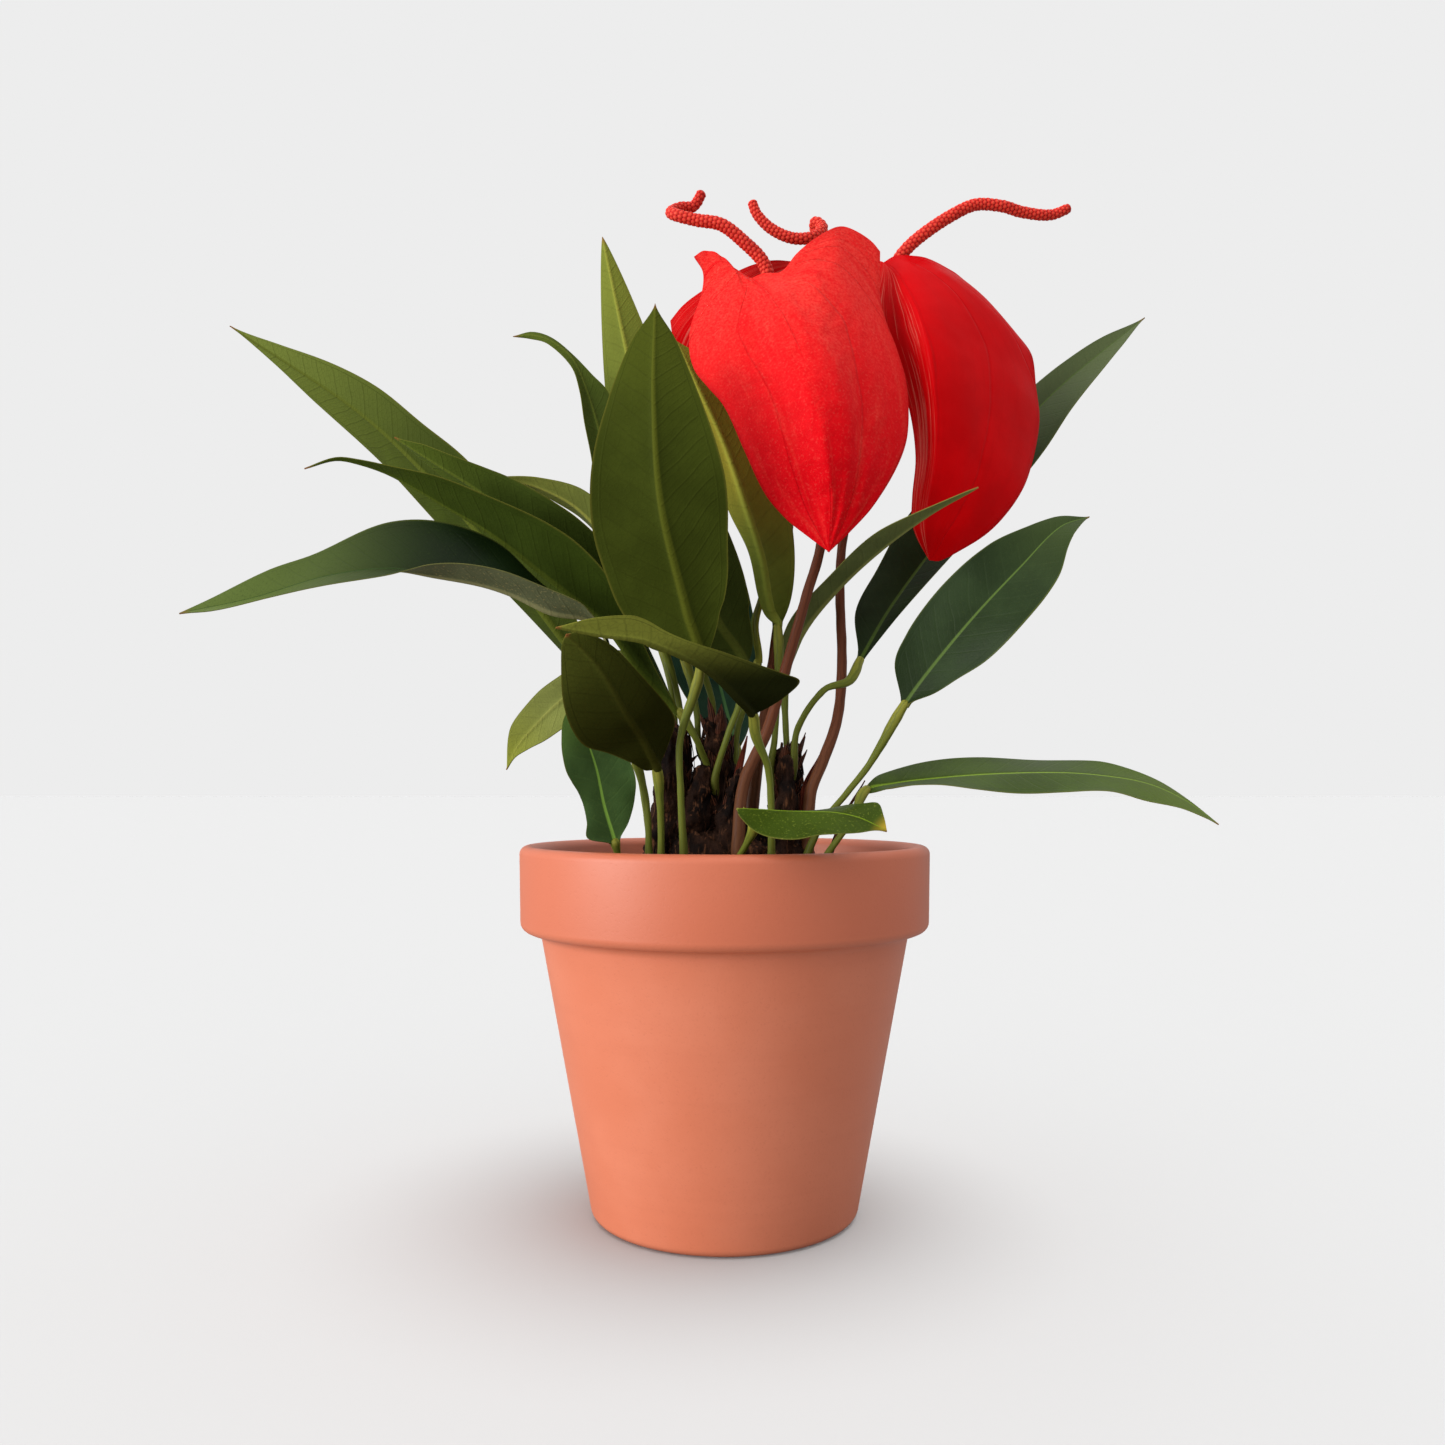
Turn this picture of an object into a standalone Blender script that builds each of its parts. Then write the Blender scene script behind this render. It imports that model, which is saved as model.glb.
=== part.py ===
"""Potted anthurium: a tapered pot with a rim band, soil, a crown of rhizomes, 21 leaves and 3 flowers."""

import math

import bpy
from mathutils import Vector

# Driving dimensions, in millimetres
POT_HEIGHT = 114.5
RIM_RADIUS = 65.0
RIM_BAND = 26.5
RIM_THICKNESS = 5.4
NECK_RADIUS = 58.3
BASE_RADIUS = 41.5
WALL = 4.5
FLOOR = 5.0
SOIL_BELOW_RIM = 7.5
DRAIN_HOLE_RADIUS = 4.0
DRAIN_HOLE_CIRCLE = 24.0

PLANT_SCALE = 1.0
LEAF_THICKNESS = 0.8
SPATHE_THICKNESS = 1.0
PETIOLE_RADIUS = 1.3
PEDUNCLE_RADIUS = 1.6
SPADIX_RADIUS = 2.0
GAP = 0.3
JOINT_GAP = 0.5

MOUND = {"x": 2.0, "y": 0.0, "radius_x": 29.0, "radius_y": 20.0, "height": 17.0, "edge": 2.0}

MM = 0.001

COLOURS = {
    "pot_terracotta": (0.80, 0.42, 0.30, 0.45),
    "soil": (0.05, 0.035, 0.025, 0.95),
    "crown_bark": (0.10, 0.055, 0.035, 0.9),
    "sheath": (0.22, 0.07, 0.03, 0.6),
    "leaf_green": (0.10, 0.20, 0.04, 0.4),
    "petiole_green": (0.32, 0.36, 0.09, 0.45),
    "peduncle": (0.30, 0.10, 0.06, 0.5),
    "spathe_red": (0.85, 0.03, 0.02, 0.35),
    "spadix_red": (0.80, 0.10, 0.05, 0.6),
}

# Each column of the crown: points up its middle, with the radius at the foot and at the top.
RHIZOMES = {
    "left": {"points": [(-15, -3, 0), (-15, -3, 24), (-16, -3, 45)], "radii": (5.4, 4.2)},
    "middle": {"points": [(-2, -4, 0), (-2, -4, 26), (-3, -4, 49)], "radii": (5.0, 3.8)},
    "right": {"points": [(20, -1, 0), (20, -1, 20), (20, -1, 39)], "radii": (5.0, 3.8)},
}

SHEATHS = {
    "red": {"root": ("middle", 18, -35), "points": [(5, -8, 31), (7, -9, 42)], "radius": 1.9},
    "hooked": {"root": ("right", 14, -30), "points": [(26, -5, 26), (30, -6, 36)], "radius": 1.8},
    "outer": {"root": ("soil", 33, -8), "points": [(38, -8, 17), (44, -9, 28)], "radius": 1.2},
}

# Each leaf: where it starts, the petiole up to the joint, the midrib from the joint to the tip, the
# half width, the way its upper side faces at the joint and the tip, and the fold of its halves there.
# A petiole's point beside a column is the column's name, a height, an angle and a clearance.
LEAVES = {
    "upper_left": {
        "root": ("soil", -24, 6),
        "petiole": [(-29, 8, 34), (-37, 10, 52)],
        "midrib": [(-54, 14, 75), (-76, 18, 103), (-105, 24, 136), (-130, 28, 159), (-177, 34, 191)],
        "half_width": 13,
        "top": ((0.3, 0.75, 0.55), (0.3, 0.75, 0.55)),
        "fold": (25, 20),
    },
    "dark_left": {
        "root": ("middle", 30, -130),
        "petiole": [(-9, -14, 41), (-14, -15, 49)],
        "midrib": [
            (-31, -18, 76), (-48, -20, 86), (-64, -23, 98), (-84, -26, 110), (-115, -31, 123),
            (-126, -33, 120),
        ],
        "half_width": 16,
        "top": ((0.4, 0.3, 0.85), (0.4, 0.2, 0.9)),
        "fold": (38, 30),
    },
    "middle_left": {
        "root": ("left", 32, 60),
        "petiole": [(-15, 4, 54), (-18, 1, 66), (-23, -4, 77)],
        "midrib": [(-42, -8, 92), (-61, -12, 107), (-77, -14, 119), (-90, -16, 127), (-103, -18, 135)],
        "half_width": 12,
        "top": ((0.4, 0.55, 0.7), (0.4, 0.55, 0.7)),
        "fold": (22, 20),
    },
    "arching_left": {
        "root": ("soil", -23, -19),
        "petiole": [(-24, -21, 22), (-28, -23, 38)],
        "midrib": [
            (-36, -32, 65), (-51, -38, 77), (-70, -43, 84), (-95, -49, 86), (-122, -52, 84),
            (-152, -54, 74),
        ],
        "half_width": 18,
        "widest": 0.36,
        "taper": 1.2,
        "top": ((0.0, -0.44, 0.9), (0.0, -0.84, 0.54)),
        "fold": (38, 17),
    },
    "folded_front": {
        "root": ("soil", 14, -28),
        "petiole": [(13, -33, 30), (9, -38, 41), (8, -42, 47)],
        "midrib": [
            (4, -51, 50), (0, -60, 54), (-9, -70, 60), (-19, -78, 64), (-31, -84, 65), (-42, -89, 66),
        ],
        "half_width": 17,
        "widest": 0.3,
        "top": ((0.2, 0.3, 0.9), (0.1, 0.1, 0.95)),
        "fold": (35, 25),
    },
    "upright_front": {
        "root": ("soil", -12, -29),
        "petiole": [(-13, -33, 25), (-13, -35, 40), (-7, -41, 61)],
        "midrib": [(-11, -46, 76), (-18, -54, 105), (-20, -56, 134), (-20, -50, 164)],
        "half_width": 19.5,
        "top": ((0.0, 1.0, 0.0), (0.0, 1.0, 0.0)),
        "fold": (8, 12),
    },
    "shaded_front": {
        "root": ("soil", -19, -27),
        "petiole": [(-19, -29, 16), (-20, -33, 31)],
        "midrib": [(-25, -40, 41), (-31, -54, 53), (-36, -66, 61), (-41, -74, 65)],
        "half_width": 15,
        "top": ((0.0, 0.7, 0.7), (0.0, 0.6, 0.8)),
        "fold": (10, 14),
    },
    "rim_left": {
        "root": ("soil", -32, -22),
        "petiole": [(-33, -24, 9)],
        "midrib": [(-36, -27, 20), (-38, -31, 31), (-41, -35, 41), (-45, -37, 51)],
        "half_width": 10.5,
        "widest": 0.52,
        "top": ((0.2, -0.95, 0.3), (0.2, -0.95, 0.3)),
        "fold": (12, 15),
    },
    "drooping_left": {
        "root": ("left", 34, -130),
        "petiole": [(-20, -8, 46), (-19, -6, 54)],
        "midrib": [
            (-24, -5, 61), (-32, -5, 64), (-41, -6, 61), (-51, -8, 53), (-59, -10, 44), (-68, -12, 31),
        ],
        "half_width": 8,
        "top": ((0.0, 0.5, 0.85), (-0.7, 0.6, 0.3)),
        "fold": (15, 15),
    },
    "back_centre": {
        "root": ("soil", 6, 15),
        "petiole": [(5, 17, 28), (4, 19, 40)],
        "midrib": [(1, 22, 51), (-2, 25, 63), (-8, 31, 91), (-12, 36, 121), (-15, 42, 148)],
        "half_width": 17,
        "top": ((0.0, -0.95, 0.2), (0.0, -0.9, 0.4)),
        "fold": (12, 15),
    },
    "behind_front": {
        "root": ("middle", 24, -100),
        "petiole": [(1, -14, 42), (5, -14, 53), (6, -11, 65)],
        "midrib": [(-2, -17, 77), (-8, -23, 91), (-11, -27, 107), (-12, -29, 128)],
        "half_width": 14,
        "top": ((-0.2, 0.95, 0.2), (0.0, 0.95, 0.0)),
        "fold": (12, 15),
    },
    "olive_centre": {
        "root": ("right", 26, 200),
        "petiole": [("right", 41, 216.87, -0.04), (17, -5, 57), (17, -6, 77)],
        "midrib": [(15, -7, 92), (10, -9, 114), (1, -11, 139), (-15, -12, 169)],
        "half_width": 12,
        "top": ((0.2, 0.95, 0.1), (0.2, 0.95, 0.1)),
        "fold": (12, 15),
    },
    "tall_left": {
        "root": ("middle", 38, 100),
        "petiole": [(-4, 3, 54), (-9, 4, 69)],
        "midrib": [(-14, 8, 91), (-23, 12, 129), (-32, 15, 168), (-42, 16, 215)],
        "half_width": 13,
        "top": ((0.0, 1.0, 0.1), (0.1, 1.0, 0.1)),
        "fold": (12, 18),
    },
    "curled_left": {
        "root": ("middle", 34, 170),
        "petiole": [(-9, -2, 50), (-13, -1, 67)],
        "midrib": [
            (-20, 1, 90), (-32, 4, 127), (-42, 7, 155), (-50, 9, 167), (-60, 11, 177), (-72, 13, 179),
        ],
        "half_width": 11,
        "top": ((0.0, 1.0, 0.1), (0.5, 0.6, 0.6)),
        "fold": (18, 20),
    },
    "sliver_left": {
        "root": ("left", 26, 95),
        "petiole": [(-17, 11, 54), (-23, 18, 79)],
        "midrib": [(-34, 22, 103), (-50, 24, 122), (-64, 25, 130), (-78, 26, 134)],
        "half_width": 9,
        "top": ((0.5, 0.5, 0.7), (0.5, 0.4, 0.75)),
        "fold": (15, 20),
    },
    "thin_right": {
        "root": ("right", 24, 80),
        "petiole": [(20, 6, 48), (20, 5, 63)],
        "midrib": [(25, -2, 76), (35, -12, 88), (47, -25, 98), (60, -38, 106), (72, -50, 111)],
        "half_width": 10,
        "top": ((-0.55, 0.15, 0.8), (-0.5, 0.1, 0.85)),
        "fold": (18, 20),
    },
    "far_right": {
        "root": ("right", 28, -70),
        "petiole": [(23, -9, 44), (31, -14, 56), (39, -12, 59), (43, -7, 66)],
        "midrib": [(54, 4, 84), (68, 13, 103), (90, 24, 131), (114, 34, 163), (155, 46, 199)],
        "half_width": 13.5,
        "top": ((-0.2, -0.85, 0.5), (-0.2, -0.85, 0.5)),
        "fold": (12, 18),
    },
    "broad_right": {
        "root": ("soil", 25, -13),
        "petiole": [(30, -13, 14), (38, -14, 24), (45, -15, 33), (55, -21, 51)],
        "midrib": [(62, -24, 61), (75, -28, 77), (89, -30, 92), (101, -29, 104), (111, -26, 108)],
        "half_width": 14.5,
        "top": ((-0.3, -0.9, 0.3), (-0.3, -0.9, 0.4)),
        "fold": (12, 15),
    },
    "low_right": {
        "root": ("soil", 30, -20),
        "petiole": [(36, -20, 12), (40, -17, 18), (44, -14, 25)],
        "midrib": [
            (57, -12, 28), (78, -14, 30), (97, -17, 30), (112, -20, 29), (127, -23, 25),
            (148, -27, 15),
        ],
        "half_width": 13,
        "top": ((0.0, -0.42, 0.9), (0.3, -0.45, 0.85)),
        "fold": (18, 14),
    },
    "rim_front": {
        "root": ("soil", 3, -36),
        "petiole": [(6, -42, 9), (8, -48, 15)],
        "midrib": [(9, -51, 19), (14, -54, 21), (23, -58, 21), (32, -62, 20), (43, -67, 14)],
        "half_width": 11,
        "top": ((0.0, -0.5, 0.85), (0.3, -0.5, 0.8)),
        "fold": (-36, -20),
    },
    "edge_centre": {
        "root": ("middle", 22, 30),
        "petiole": [(4, 4, 43), (7, 6, 54), (11, 8, 67)],
        "midrib": [(10, 10, 80), (13, 14, 92), (18, 20, 114), (24, 28, 141), (27, 38, 169)],
        "half_width": 8,
        "top": ((-1.0, 0.0, 0.1), (-1.0, -0.2, 0.1)),
        "fold": (10, 15),
    },
}

# Each flower: the stalk, the spadix that follows on from it, the middle line of the spathe from its notch
# to its tip, and for each of its sides the half width, the share of it at the notch, the height and the
# place of the lobe, and how far its outer corner is raised.
FLOWERS = {
    "front": {
        "root": ("soil", 4, -18),
        "peduncle": [
            (6, -17, 27), (13, -18, 43), (19, -19, 63), (25, -20, 84), (30, -19, 102), (31, -15, 125),
            (29, -12, 151), (21, -12, 172), (15, -17, 183),
        ],
        "spadix": [
            (12, -18, 191), (6, -19, 197), (-1, -20, 202), (-9, -19, 204), (-15, -18, 206),
            (-17, -14, 209), (-14, -11, 212), (-10, -10, 213), (-7, -10, 218),
        ],
        "spathe": [
            (15, -20, 184), (17, -33, 174), (20, -43, 157), (24, -48, 136), (28, -46, 114),
            (30, -38, 96),
        ],
        "half_widths": (30, 35),
        "shoulders": (0.72, 0.88),
        "lobes": (4, 17),
        "lobes_at": (0.85, 0.65),
        "corners": (8, 11),
        "top": ((0.1, -0.9, 0.3), (0.1, -1.0, 0.0)),
        "fold": (-12, -12),
    },
    "right": {
        "root": ("soil", 26, -9),
        "peduncle": [
            (27, -9, 24), (31, -8, 34), (36, -5, 48), (38, 0, 66), (38, 5, 95), (40, 8, 112),
            (46, 12, 135), (53, 15, 155), (57, 14, 169), (57, 9, 179), (56.4, 4.6, 185),
            (56, 1.5, 192),
        ],
        "spadix": [
            (56.5, 0, 198), (60, -1, 203), (66, -2, 208), (75, -2, 214), (83, -1, 218), (92, 0, 218),
            (99, 2, 217), (109, 4, 217), (116, 5, 220),
        ],
        "spathe": [
            (54.6, -1.8, 191), (59, -13, 174), (64, -21, 150), (64, -22, 130), (64, -19, 112),
            (65, -13, 97),
        ],
        "half_widths": (25, 34),
        "shoulders": (0.6, 0.7),
        "lobes": (3, 8),
        "lobes_at": (0.5, 0.3),
        "corners": (11, -11),
        "top": ((-0.6, -0.8, 0.1), (-0.6, -0.8, 0.0)),
        "fold": (-36, -34),
    },
    "back": {
        "root": ("soil", 9, 8),
        "peduncle": [
            (11, 9, 34), (16, 11, 67), (18, 12, 82), (20, 14, 99), (25, 18, 141), (30, 21, 180),
            (33, 18, 200),
        ],
        "spadix": [
            (33, 16, 207), (32, 15, 213), (31, 12, 218), (33, 9, 215), (30, 5, 210), (23, 4, 209),
            (16, 4, 212), (11, 4, 217), (9, 4, 222),
        ],
        "spathe": [(31.6, 15.4, 201), (23, 8, 191), (13, 7, 176), (3, 9, 162), (-4, 14, 150)],
        "half_widths": (42, 27),
        "shoulders": (0.45, 0.7),
        "lobes": (4, 4),
        "lobes_at": (0.6, 0.6),
        "corners": (-8, 4),
        "top": ((-0.2, -0.9, 0.3), (-0.2, -0.95, -0.2)),
        "fold": (-10, -10),
    },
}


def material(name):
    """The material of this slot, made on first use."""
    if name in bpy.data.materials:
        return bpy.data.materials[name]
    red, green, blue, roughness = COLOURS[name]
    made = bpy.data.materials.new(name)
    made.use_nodes = True
    principled = made.node_tree.nodes["Principled BSDF"]
    principled.inputs["Base Color"].default_value = (red, green, blue, 1)
    principled.inputs["Roughness"].default_value = roughness
    made.diffuse_color = (red, green, blue, 1)
    return made


def keep(obj, name, slot):
    """Names the object, gives it its material and moves it to the collection of the part."""
    obj.name = name
    obj.data.name = name
    obj.data.materials.clear()
    obj.data.materials.append(material(slot))
    for collection in list(obj.users_collection):
        collection.objects.unlink(obj)
    PART.objects.link(obj)
    return obj


def turned(name, profile, steps, slot):
    """A solid turned about Z from (radius, height) points in mm, running from the top down."""
    mesh = bpy.data.meshes.new(name)
    edges = [(i, i + 1) for i in range(len(profile) - 1)]
    mesh.from_pydata([(r * MM, 0, z * MM) for r, z in profile], edges, [])
    obj = bpy.data.objects.new(name, mesh)
    bpy.context.scene.collection.objects.link(obj)
    screw = obj.modifiers.new("Turn", "SCREW")
    screw.axis = "Z"
    screw.steps = steps
    screw.render_steps = steps
    screw.use_merge_vertices = True
    screw.merge_threshold = 0.00001
    return keep(obj, name, slot)


def inner_radius(z):
    """The inside of the pot at this height, parallel to the outer taper."""
    return BASE_RADIUS + (NECK_RADIUS - BASE_RADIUS) * z / (POT_HEIGHT - RIM_BAND) - WALL


def make_pot():
    """The pot: a tapered wall, a rim band with rounded edges, a floor and four drainage holes."""
    neck = POT_HEIGHT - RIM_BAND
    top = POT_HEIGHT
    profile = [
        (RIM_RADIUS - RIM_THICKNESS, top - 2.0),
        (RIM_RADIUS - RIM_THICKNESS + 0.8, top - 0.6),
        (RIM_RADIUS - RIM_THICKNESS + 2.0, top),
        (RIM_RADIUS - 2.0, top - 0.2),
        (RIM_RADIUS - 0.7, top - 1.1),
        (RIM_RADIUS, top - 3.0),
        (RIM_RADIUS - 0.6, neck + 4.0),
        (RIM_RADIUS - 1.2, neck + 1.7),
        (RIM_RADIUS - 2.6, neck + 0.4),
        (NECK_RADIUS + 0.6, neck - 0.4),
        (NECK_RADIUS, neck - 1.4),
        (BASE_RADIUS + 0.3, 2.6),
        (BASE_RADIUS - 0.4, 0.8),
        (BASE_RADIUS - 1.6, 0.0),
        (0, 0),
    ]
    inside = [
        (0, FLOOR),
        (inner_radius(FLOOR) - 2.5, FLOOR),
        (inner_radius(FLOOR) - 0.6, FLOOR + 0.8),
        (inner_radius(FLOOR + 3), FLOOR + 3),
        (inner_radius(neck), neck),
    ]
    pot = turned("pot", inside + profile, 64, "pot_terracotta")
    helpers = bpy.data.collections.new("cutters")
    bpy.context.scene.collection.children.link(helpers)
    for quarter in range(4):
        angle = math.radians(45 + 90 * quarter)
        middle = Vector((math.cos(angle) * DRAIN_HOLE_CIRCLE, math.sin(angle) * DRAIN_HOLE_CIRCLE, FLOOR / 2))
        bpy.ops.mesh.primitive_cylinder_add(
            vertices=16, radius=DRAIN_HOLE_RADIUS * MM, depth=3 * FLOOR * MM, location=middle * MM
        )
        cutter = bpy.context.object
        cutter.name = f"drain_cutter_{quarter + 1}"
        cutter.hide_render = True
        cutter.display_type = "WIRE"
        for collection in list(cutter.users_collection):
            collection.objects.unlink(cutter)
        helpers.objects.link(cutter)
        hole = pot.modifiers.new(f"Drain hole {quarter + 1}", "BOOLEAN")
        hole.operation = "DIFFERENCE"
        hole.solver = "EXACT"
        hole.object = cutter


def soil_edge(z):
    """The soil's radius at this height: a gap inside the taper, and inside the line from neck to mouth."""
    neck = POT_HEIGHT - RIM_BAND
    share = max(0.0, (z - neck) / (RIM_BAND - 2.0))
    mouth = RIM_RADIUS - RIM_THICKNESS
    return min(inner_radius(z), inner_radius(neck) + (mouth - inner_radius(neck)) * share) - GAP


def make_soil():
    """The soil fills the pot, a gap away from its wall and floor, and is lower at the wall."""
    low = SOIL_Z - 3.0
    edge = soil_edge(low)
    profile = [
        (0, SOIL_Z),
        (edge - 14.5, SOIL_Z),
        (edge - 6.5, SOIL_Z - 1.0),
        (edge, low),
        (inner_radius(FLOOR + 3) - GAP, FLOOR + 3),
        (inner_radius(FLOOR) - 3.2, FLOOR + GAP),
        (0, FLOOR + GAP),
    ]
    turned("soil", profile, 64, "soil")


def mound_height(x, y):
    """The top of the mound over the soil at this place of the plant, or 0 outside the mound."""
    out = math.hypot((x - MOUND["x"]) / MOUND["radius_x"], (y - MOUND["y"]) / MOUND["radius_y"])
    if out >= 1:
        return 0.0
    return MOUND["edge"] + (MOUND["height"] - MOUND["edge"]) * (1 - out * out)


def make_mound():
    """The mound of old roots and petiole bases under the crown."""
    rings = [(0.0, MOUND["height"])]
    for ring in range(1, 8):
        out = ring / 7
        height = mound_height(MOUND["x"] + out * 0.999 * MOUND["radius_x"], MOUND["y"])
        rings.append((out * MOUND["radius_x"], height))
    profile = rings + [(MOUND["radius_x"], GAP), (0, GAP)]
    mound = turned("root_mound", profile, 32, "crown_bark")
    mound.scale = (PLANT_SCALE, PLANT_SCALE * MOUND["radius_y"] / MOUND["radius_x"], PLANT_SCALE)
    mound.location = place((MOUND["x"], MOUND["y"], 0)) * MM


def place(point):
    """A point of the plant in the frame of the pot, in mm."""
    return Vector(point) * PLANT_SCALE + Vector((0, 0, SOIL_Z))


def smooth_path(points):
    """A smooth curve through the points, as a function of distance, and the distance of each point."""
    points = [Vector(p) for p in points]
    knots = [0.0]
    for a, b in zip(points, points[1:]):
        knots.append(knots[-1] + (b - a).length)
    last = len(points) - 1
    slopes = []
    for i in range(last + 1):
        before = max(i - 1, 0)
        after = min(i + 1, last)
        slopes.append((points[after] - points[before]) / (knots[after] - knots[before]))

    def at(distance):
        i = 0
        while i < last - 1 and distance > knots[i + 1]:
            i += 1
        span = knots[i + 1] - knots[i]
        t = (distance - knots[i]) / span
        from_a = (1 + 2 * t) * (1 - t) ** 2 * points[i] + t * (1 - t) ** 2 * span * slopes[i]
        from_b = t * t * (3 - 2 * t) * points[i + 1] + t * t * (t - 1) * span * slopes[i + 1]
        return from_a + from_b

    return at, knots


def tube(name, at, start, end, radii, count, slot, sides=8):
    """A round rod along a path; radii holds the radius at equally spaced stations from start to end."""
    curve = bpy.data.curves.new(name, "CURVE")
    curve.dimensions = "3D"
    curve.bevel_depth = MM * PLANT_SCALE
    curve.bevel_resolution = sides // 2 - 2
    curve.use_fill_caps = True
    spline = curve.splines.new("POLY")
    spline.points.add(count - 1)
    for i in range(count):
        t = i / (count - 1)
        station = t * (len(radii) - 1)
        low = min(int(station), len(radii) - 2)
        radius = radii[low] + (radii[low + 1] - radii[low]) * (station - low)
        x, y, z = place(at(start + (end - start) * t)) * MM
        spline.points[i].co = (x, y, z, 1)
        spline.points[i].radius = radius
    obj = bpy.data.objects.new(name, curve)
    bpy.context.scene.collection.objects.link(obj)
    return keep(obj, name, slot)


def root_points(root, radius):
    """The first two points of a stalk: on the ground, or beside a column at a height and angle."""
    if root[0] == "soil":
        x, y = root[1], root[2]
        inward = (Vector((MOUND["x"], MOUND["y"])) - Vector((x, y))).normalized() * radius * 1.3
        ground = max(mound_height(x, y), mound_height(x + inward.x, y + inward.y)) + GAP + 0.2
        return [(x, y, ground), (x, y, ground + 3)]
    name, height, angle = root
    return [beside(name, height + rise, angle, radius + GAP) for rise in (0, 4)]


def beside(name, height, angle, clear):
    """The point this far clear of a column of the crown, at a height and an angle in degrees."""
    column = RHIZOMES[name]
    at, knots = smooth_path(column["points"])
    middle = at(height)
    foot, top = column["radii"]
    out = foot + (top - foot) * (height / knots[-1]) + clear
    angle = math.radians(angle)
    return (middle.x + out * math.cos(angle), middle.y + out * math.sin(angle), middle.z)


def stalk_points(leaf):
    """The points of a petiole; one given by a column's name keeps its clearance from that column."""
    points = root_points(leaf["root"], PETIOLE_RADIUS)
    for point in leaf["petiole"]:
        if isinstance(point[0], str):
            name, height, angle, clearance = point
            point = beside(name, height, angle, PETIOLE_RADIUS + clearance)
        points.append(point)
    return points


def make_rhizomes():
    """The columns of the crown, standing on the mound."""
    for name, column in RHIZOMES.items():
        points = [Vector(p) for p in column["points"]]
        x, y, _ = points[0]
        toward = (Vector((MOUND["x"], MOUND["y"], 0)) - Vector((x, y, 0))).normalized() * column["radii"][0]
        highest = max(mound_height(x + toward.x, y + toward.y), mound_height(x, y))
        at, knots = smooth_path(points)
        tube(f"rhizome_{name}", at, highest + GAP, knots[-1], column["radii"], 5, "crown_bark", 12)


def make_sheaths():
    """Pointed dry leaves of the crown."""
    for name, sheath in SHEATHS.items():
        radius = sheath["radius"]
        points = root_points(sheath["root"], radius) + sheath["points"]
        at, knots = smooth_path(points)
        tube(f"sheath_{name}", at, 0, knots[-1], (radius, radius, 0.3), 7, "sheath", 6)


def blade(name, at, start, end, shape, slot):
    """A leaf or spathe: a grid laid along the path, widened and folded by the shape, then thickened."""
    columns, rows = shape["grid"]
    bpy.ops.mesh.primitive_grid_add(x_subdivisions=columns, y_subdivisions=rows, size=2)
    obj = bpy.context.object
    base_top, tip_top = [Vector(v) for v in shape["top"]]
    base_fold, tip_fold = shape["fold"]
    for vertex in obj.data.vertices:
        across = vertex.co.x
        along = (vertex.co.y + 1) / 2
        distance = start + (end - start) * along
        ahead = at(min(distance + 0.5, end)) - at(max(distance - 0.5, start))
        ahead.normalize()
        side = ahead.cross(base_top.lerp(tip_top, along)).normalized()
        up = side.cross(ahead)
        fold = math.radians(base_fold + (tip_fold - base_fold) * along)
        widest, outline, lobe, lobe_at, corner = shape["sides"][0 if across > 0 else 1]
        half = shape["least"] + (widest - shape["least"]) * outline(along)
        point = at(distance)
        point += side * across * half * math.cos(fold)
        point += up * abs(across) * half * math.sin(fold)
        point.z += (lobe * bump(abs(across), lobe_at) + corner * across * across) * (1 - along) ** 3
        vertex.co = place(point) * MM
    solid = obj.modifiers.new("Thickness", "SOLIDIFY")
    solid.thickness = shape["thickness"] * PLANT_SCALE * MM
    solid.offset = 0
    return keep(obj, name, slot)


def bump(share, peak):
    """A hump from 0 at one end to 0 at the other, with its top at the peak."""
    return math.sin(math.pi * share ** (math.log(0.5) / math.log(peak)))


def leaf_outline(widest, taper):
    """The width of a leaf along its length, as a function: widest at this share, with a long point."""
    return lambda along: bump(along, widest) ** taper if 0 < along < 1 else 0.0


def spathe_outline(shoulder):
    """The width of a spathe along its length, as a function: its share at the notch, full at a third."""

    def outline(along):
        if along < 0.3:
            return shoulder + (1 - shoulder) * math.sin(math.pi / 2 * along / 0.3)
        return max(0.0, 1 - ((along - 0.3) / 0.7) ** 2.2) ** 0.7

    return outline


def make_leaves():
    """Each leaf as a petiole and a blade, a gap apart at the joint."""
    for name, leaf in LEAVES.items():
        stalk = stalk_points(leaf)
        at, knots = smooth_path(stalk + leaf["midrib"])
        joint = knots[len(stalk) - 1]
        radii = [PETIOLE_RADIUS * share for share in (1, 1, 0.95, 1.25, 1)]
        count = max(5, round(joint / 6))
        tube(f"petiole_{name}", at, 0, joint - JOINT_GAP / 2, radii, count, "petiole_green")
        outline = leaf_outline(leaf.get("widest", 0.42), leaf.get("taper", 0.85))
        shape = {
            "grid": (4, 10),
            "sides": [(leaf["half_width"], outline, 0, 0.5, 0)] * 2,
            "least": 0.8,
            "thickness": LEAF_THICKNESS,
            "top": leaf["top"],
            "fold": leaf["fold"],
        }
        blade(f"leaf_{name}", at, joint + JOINT_GAP / 2, knots[-1], shape, "leaf_green")


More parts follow.
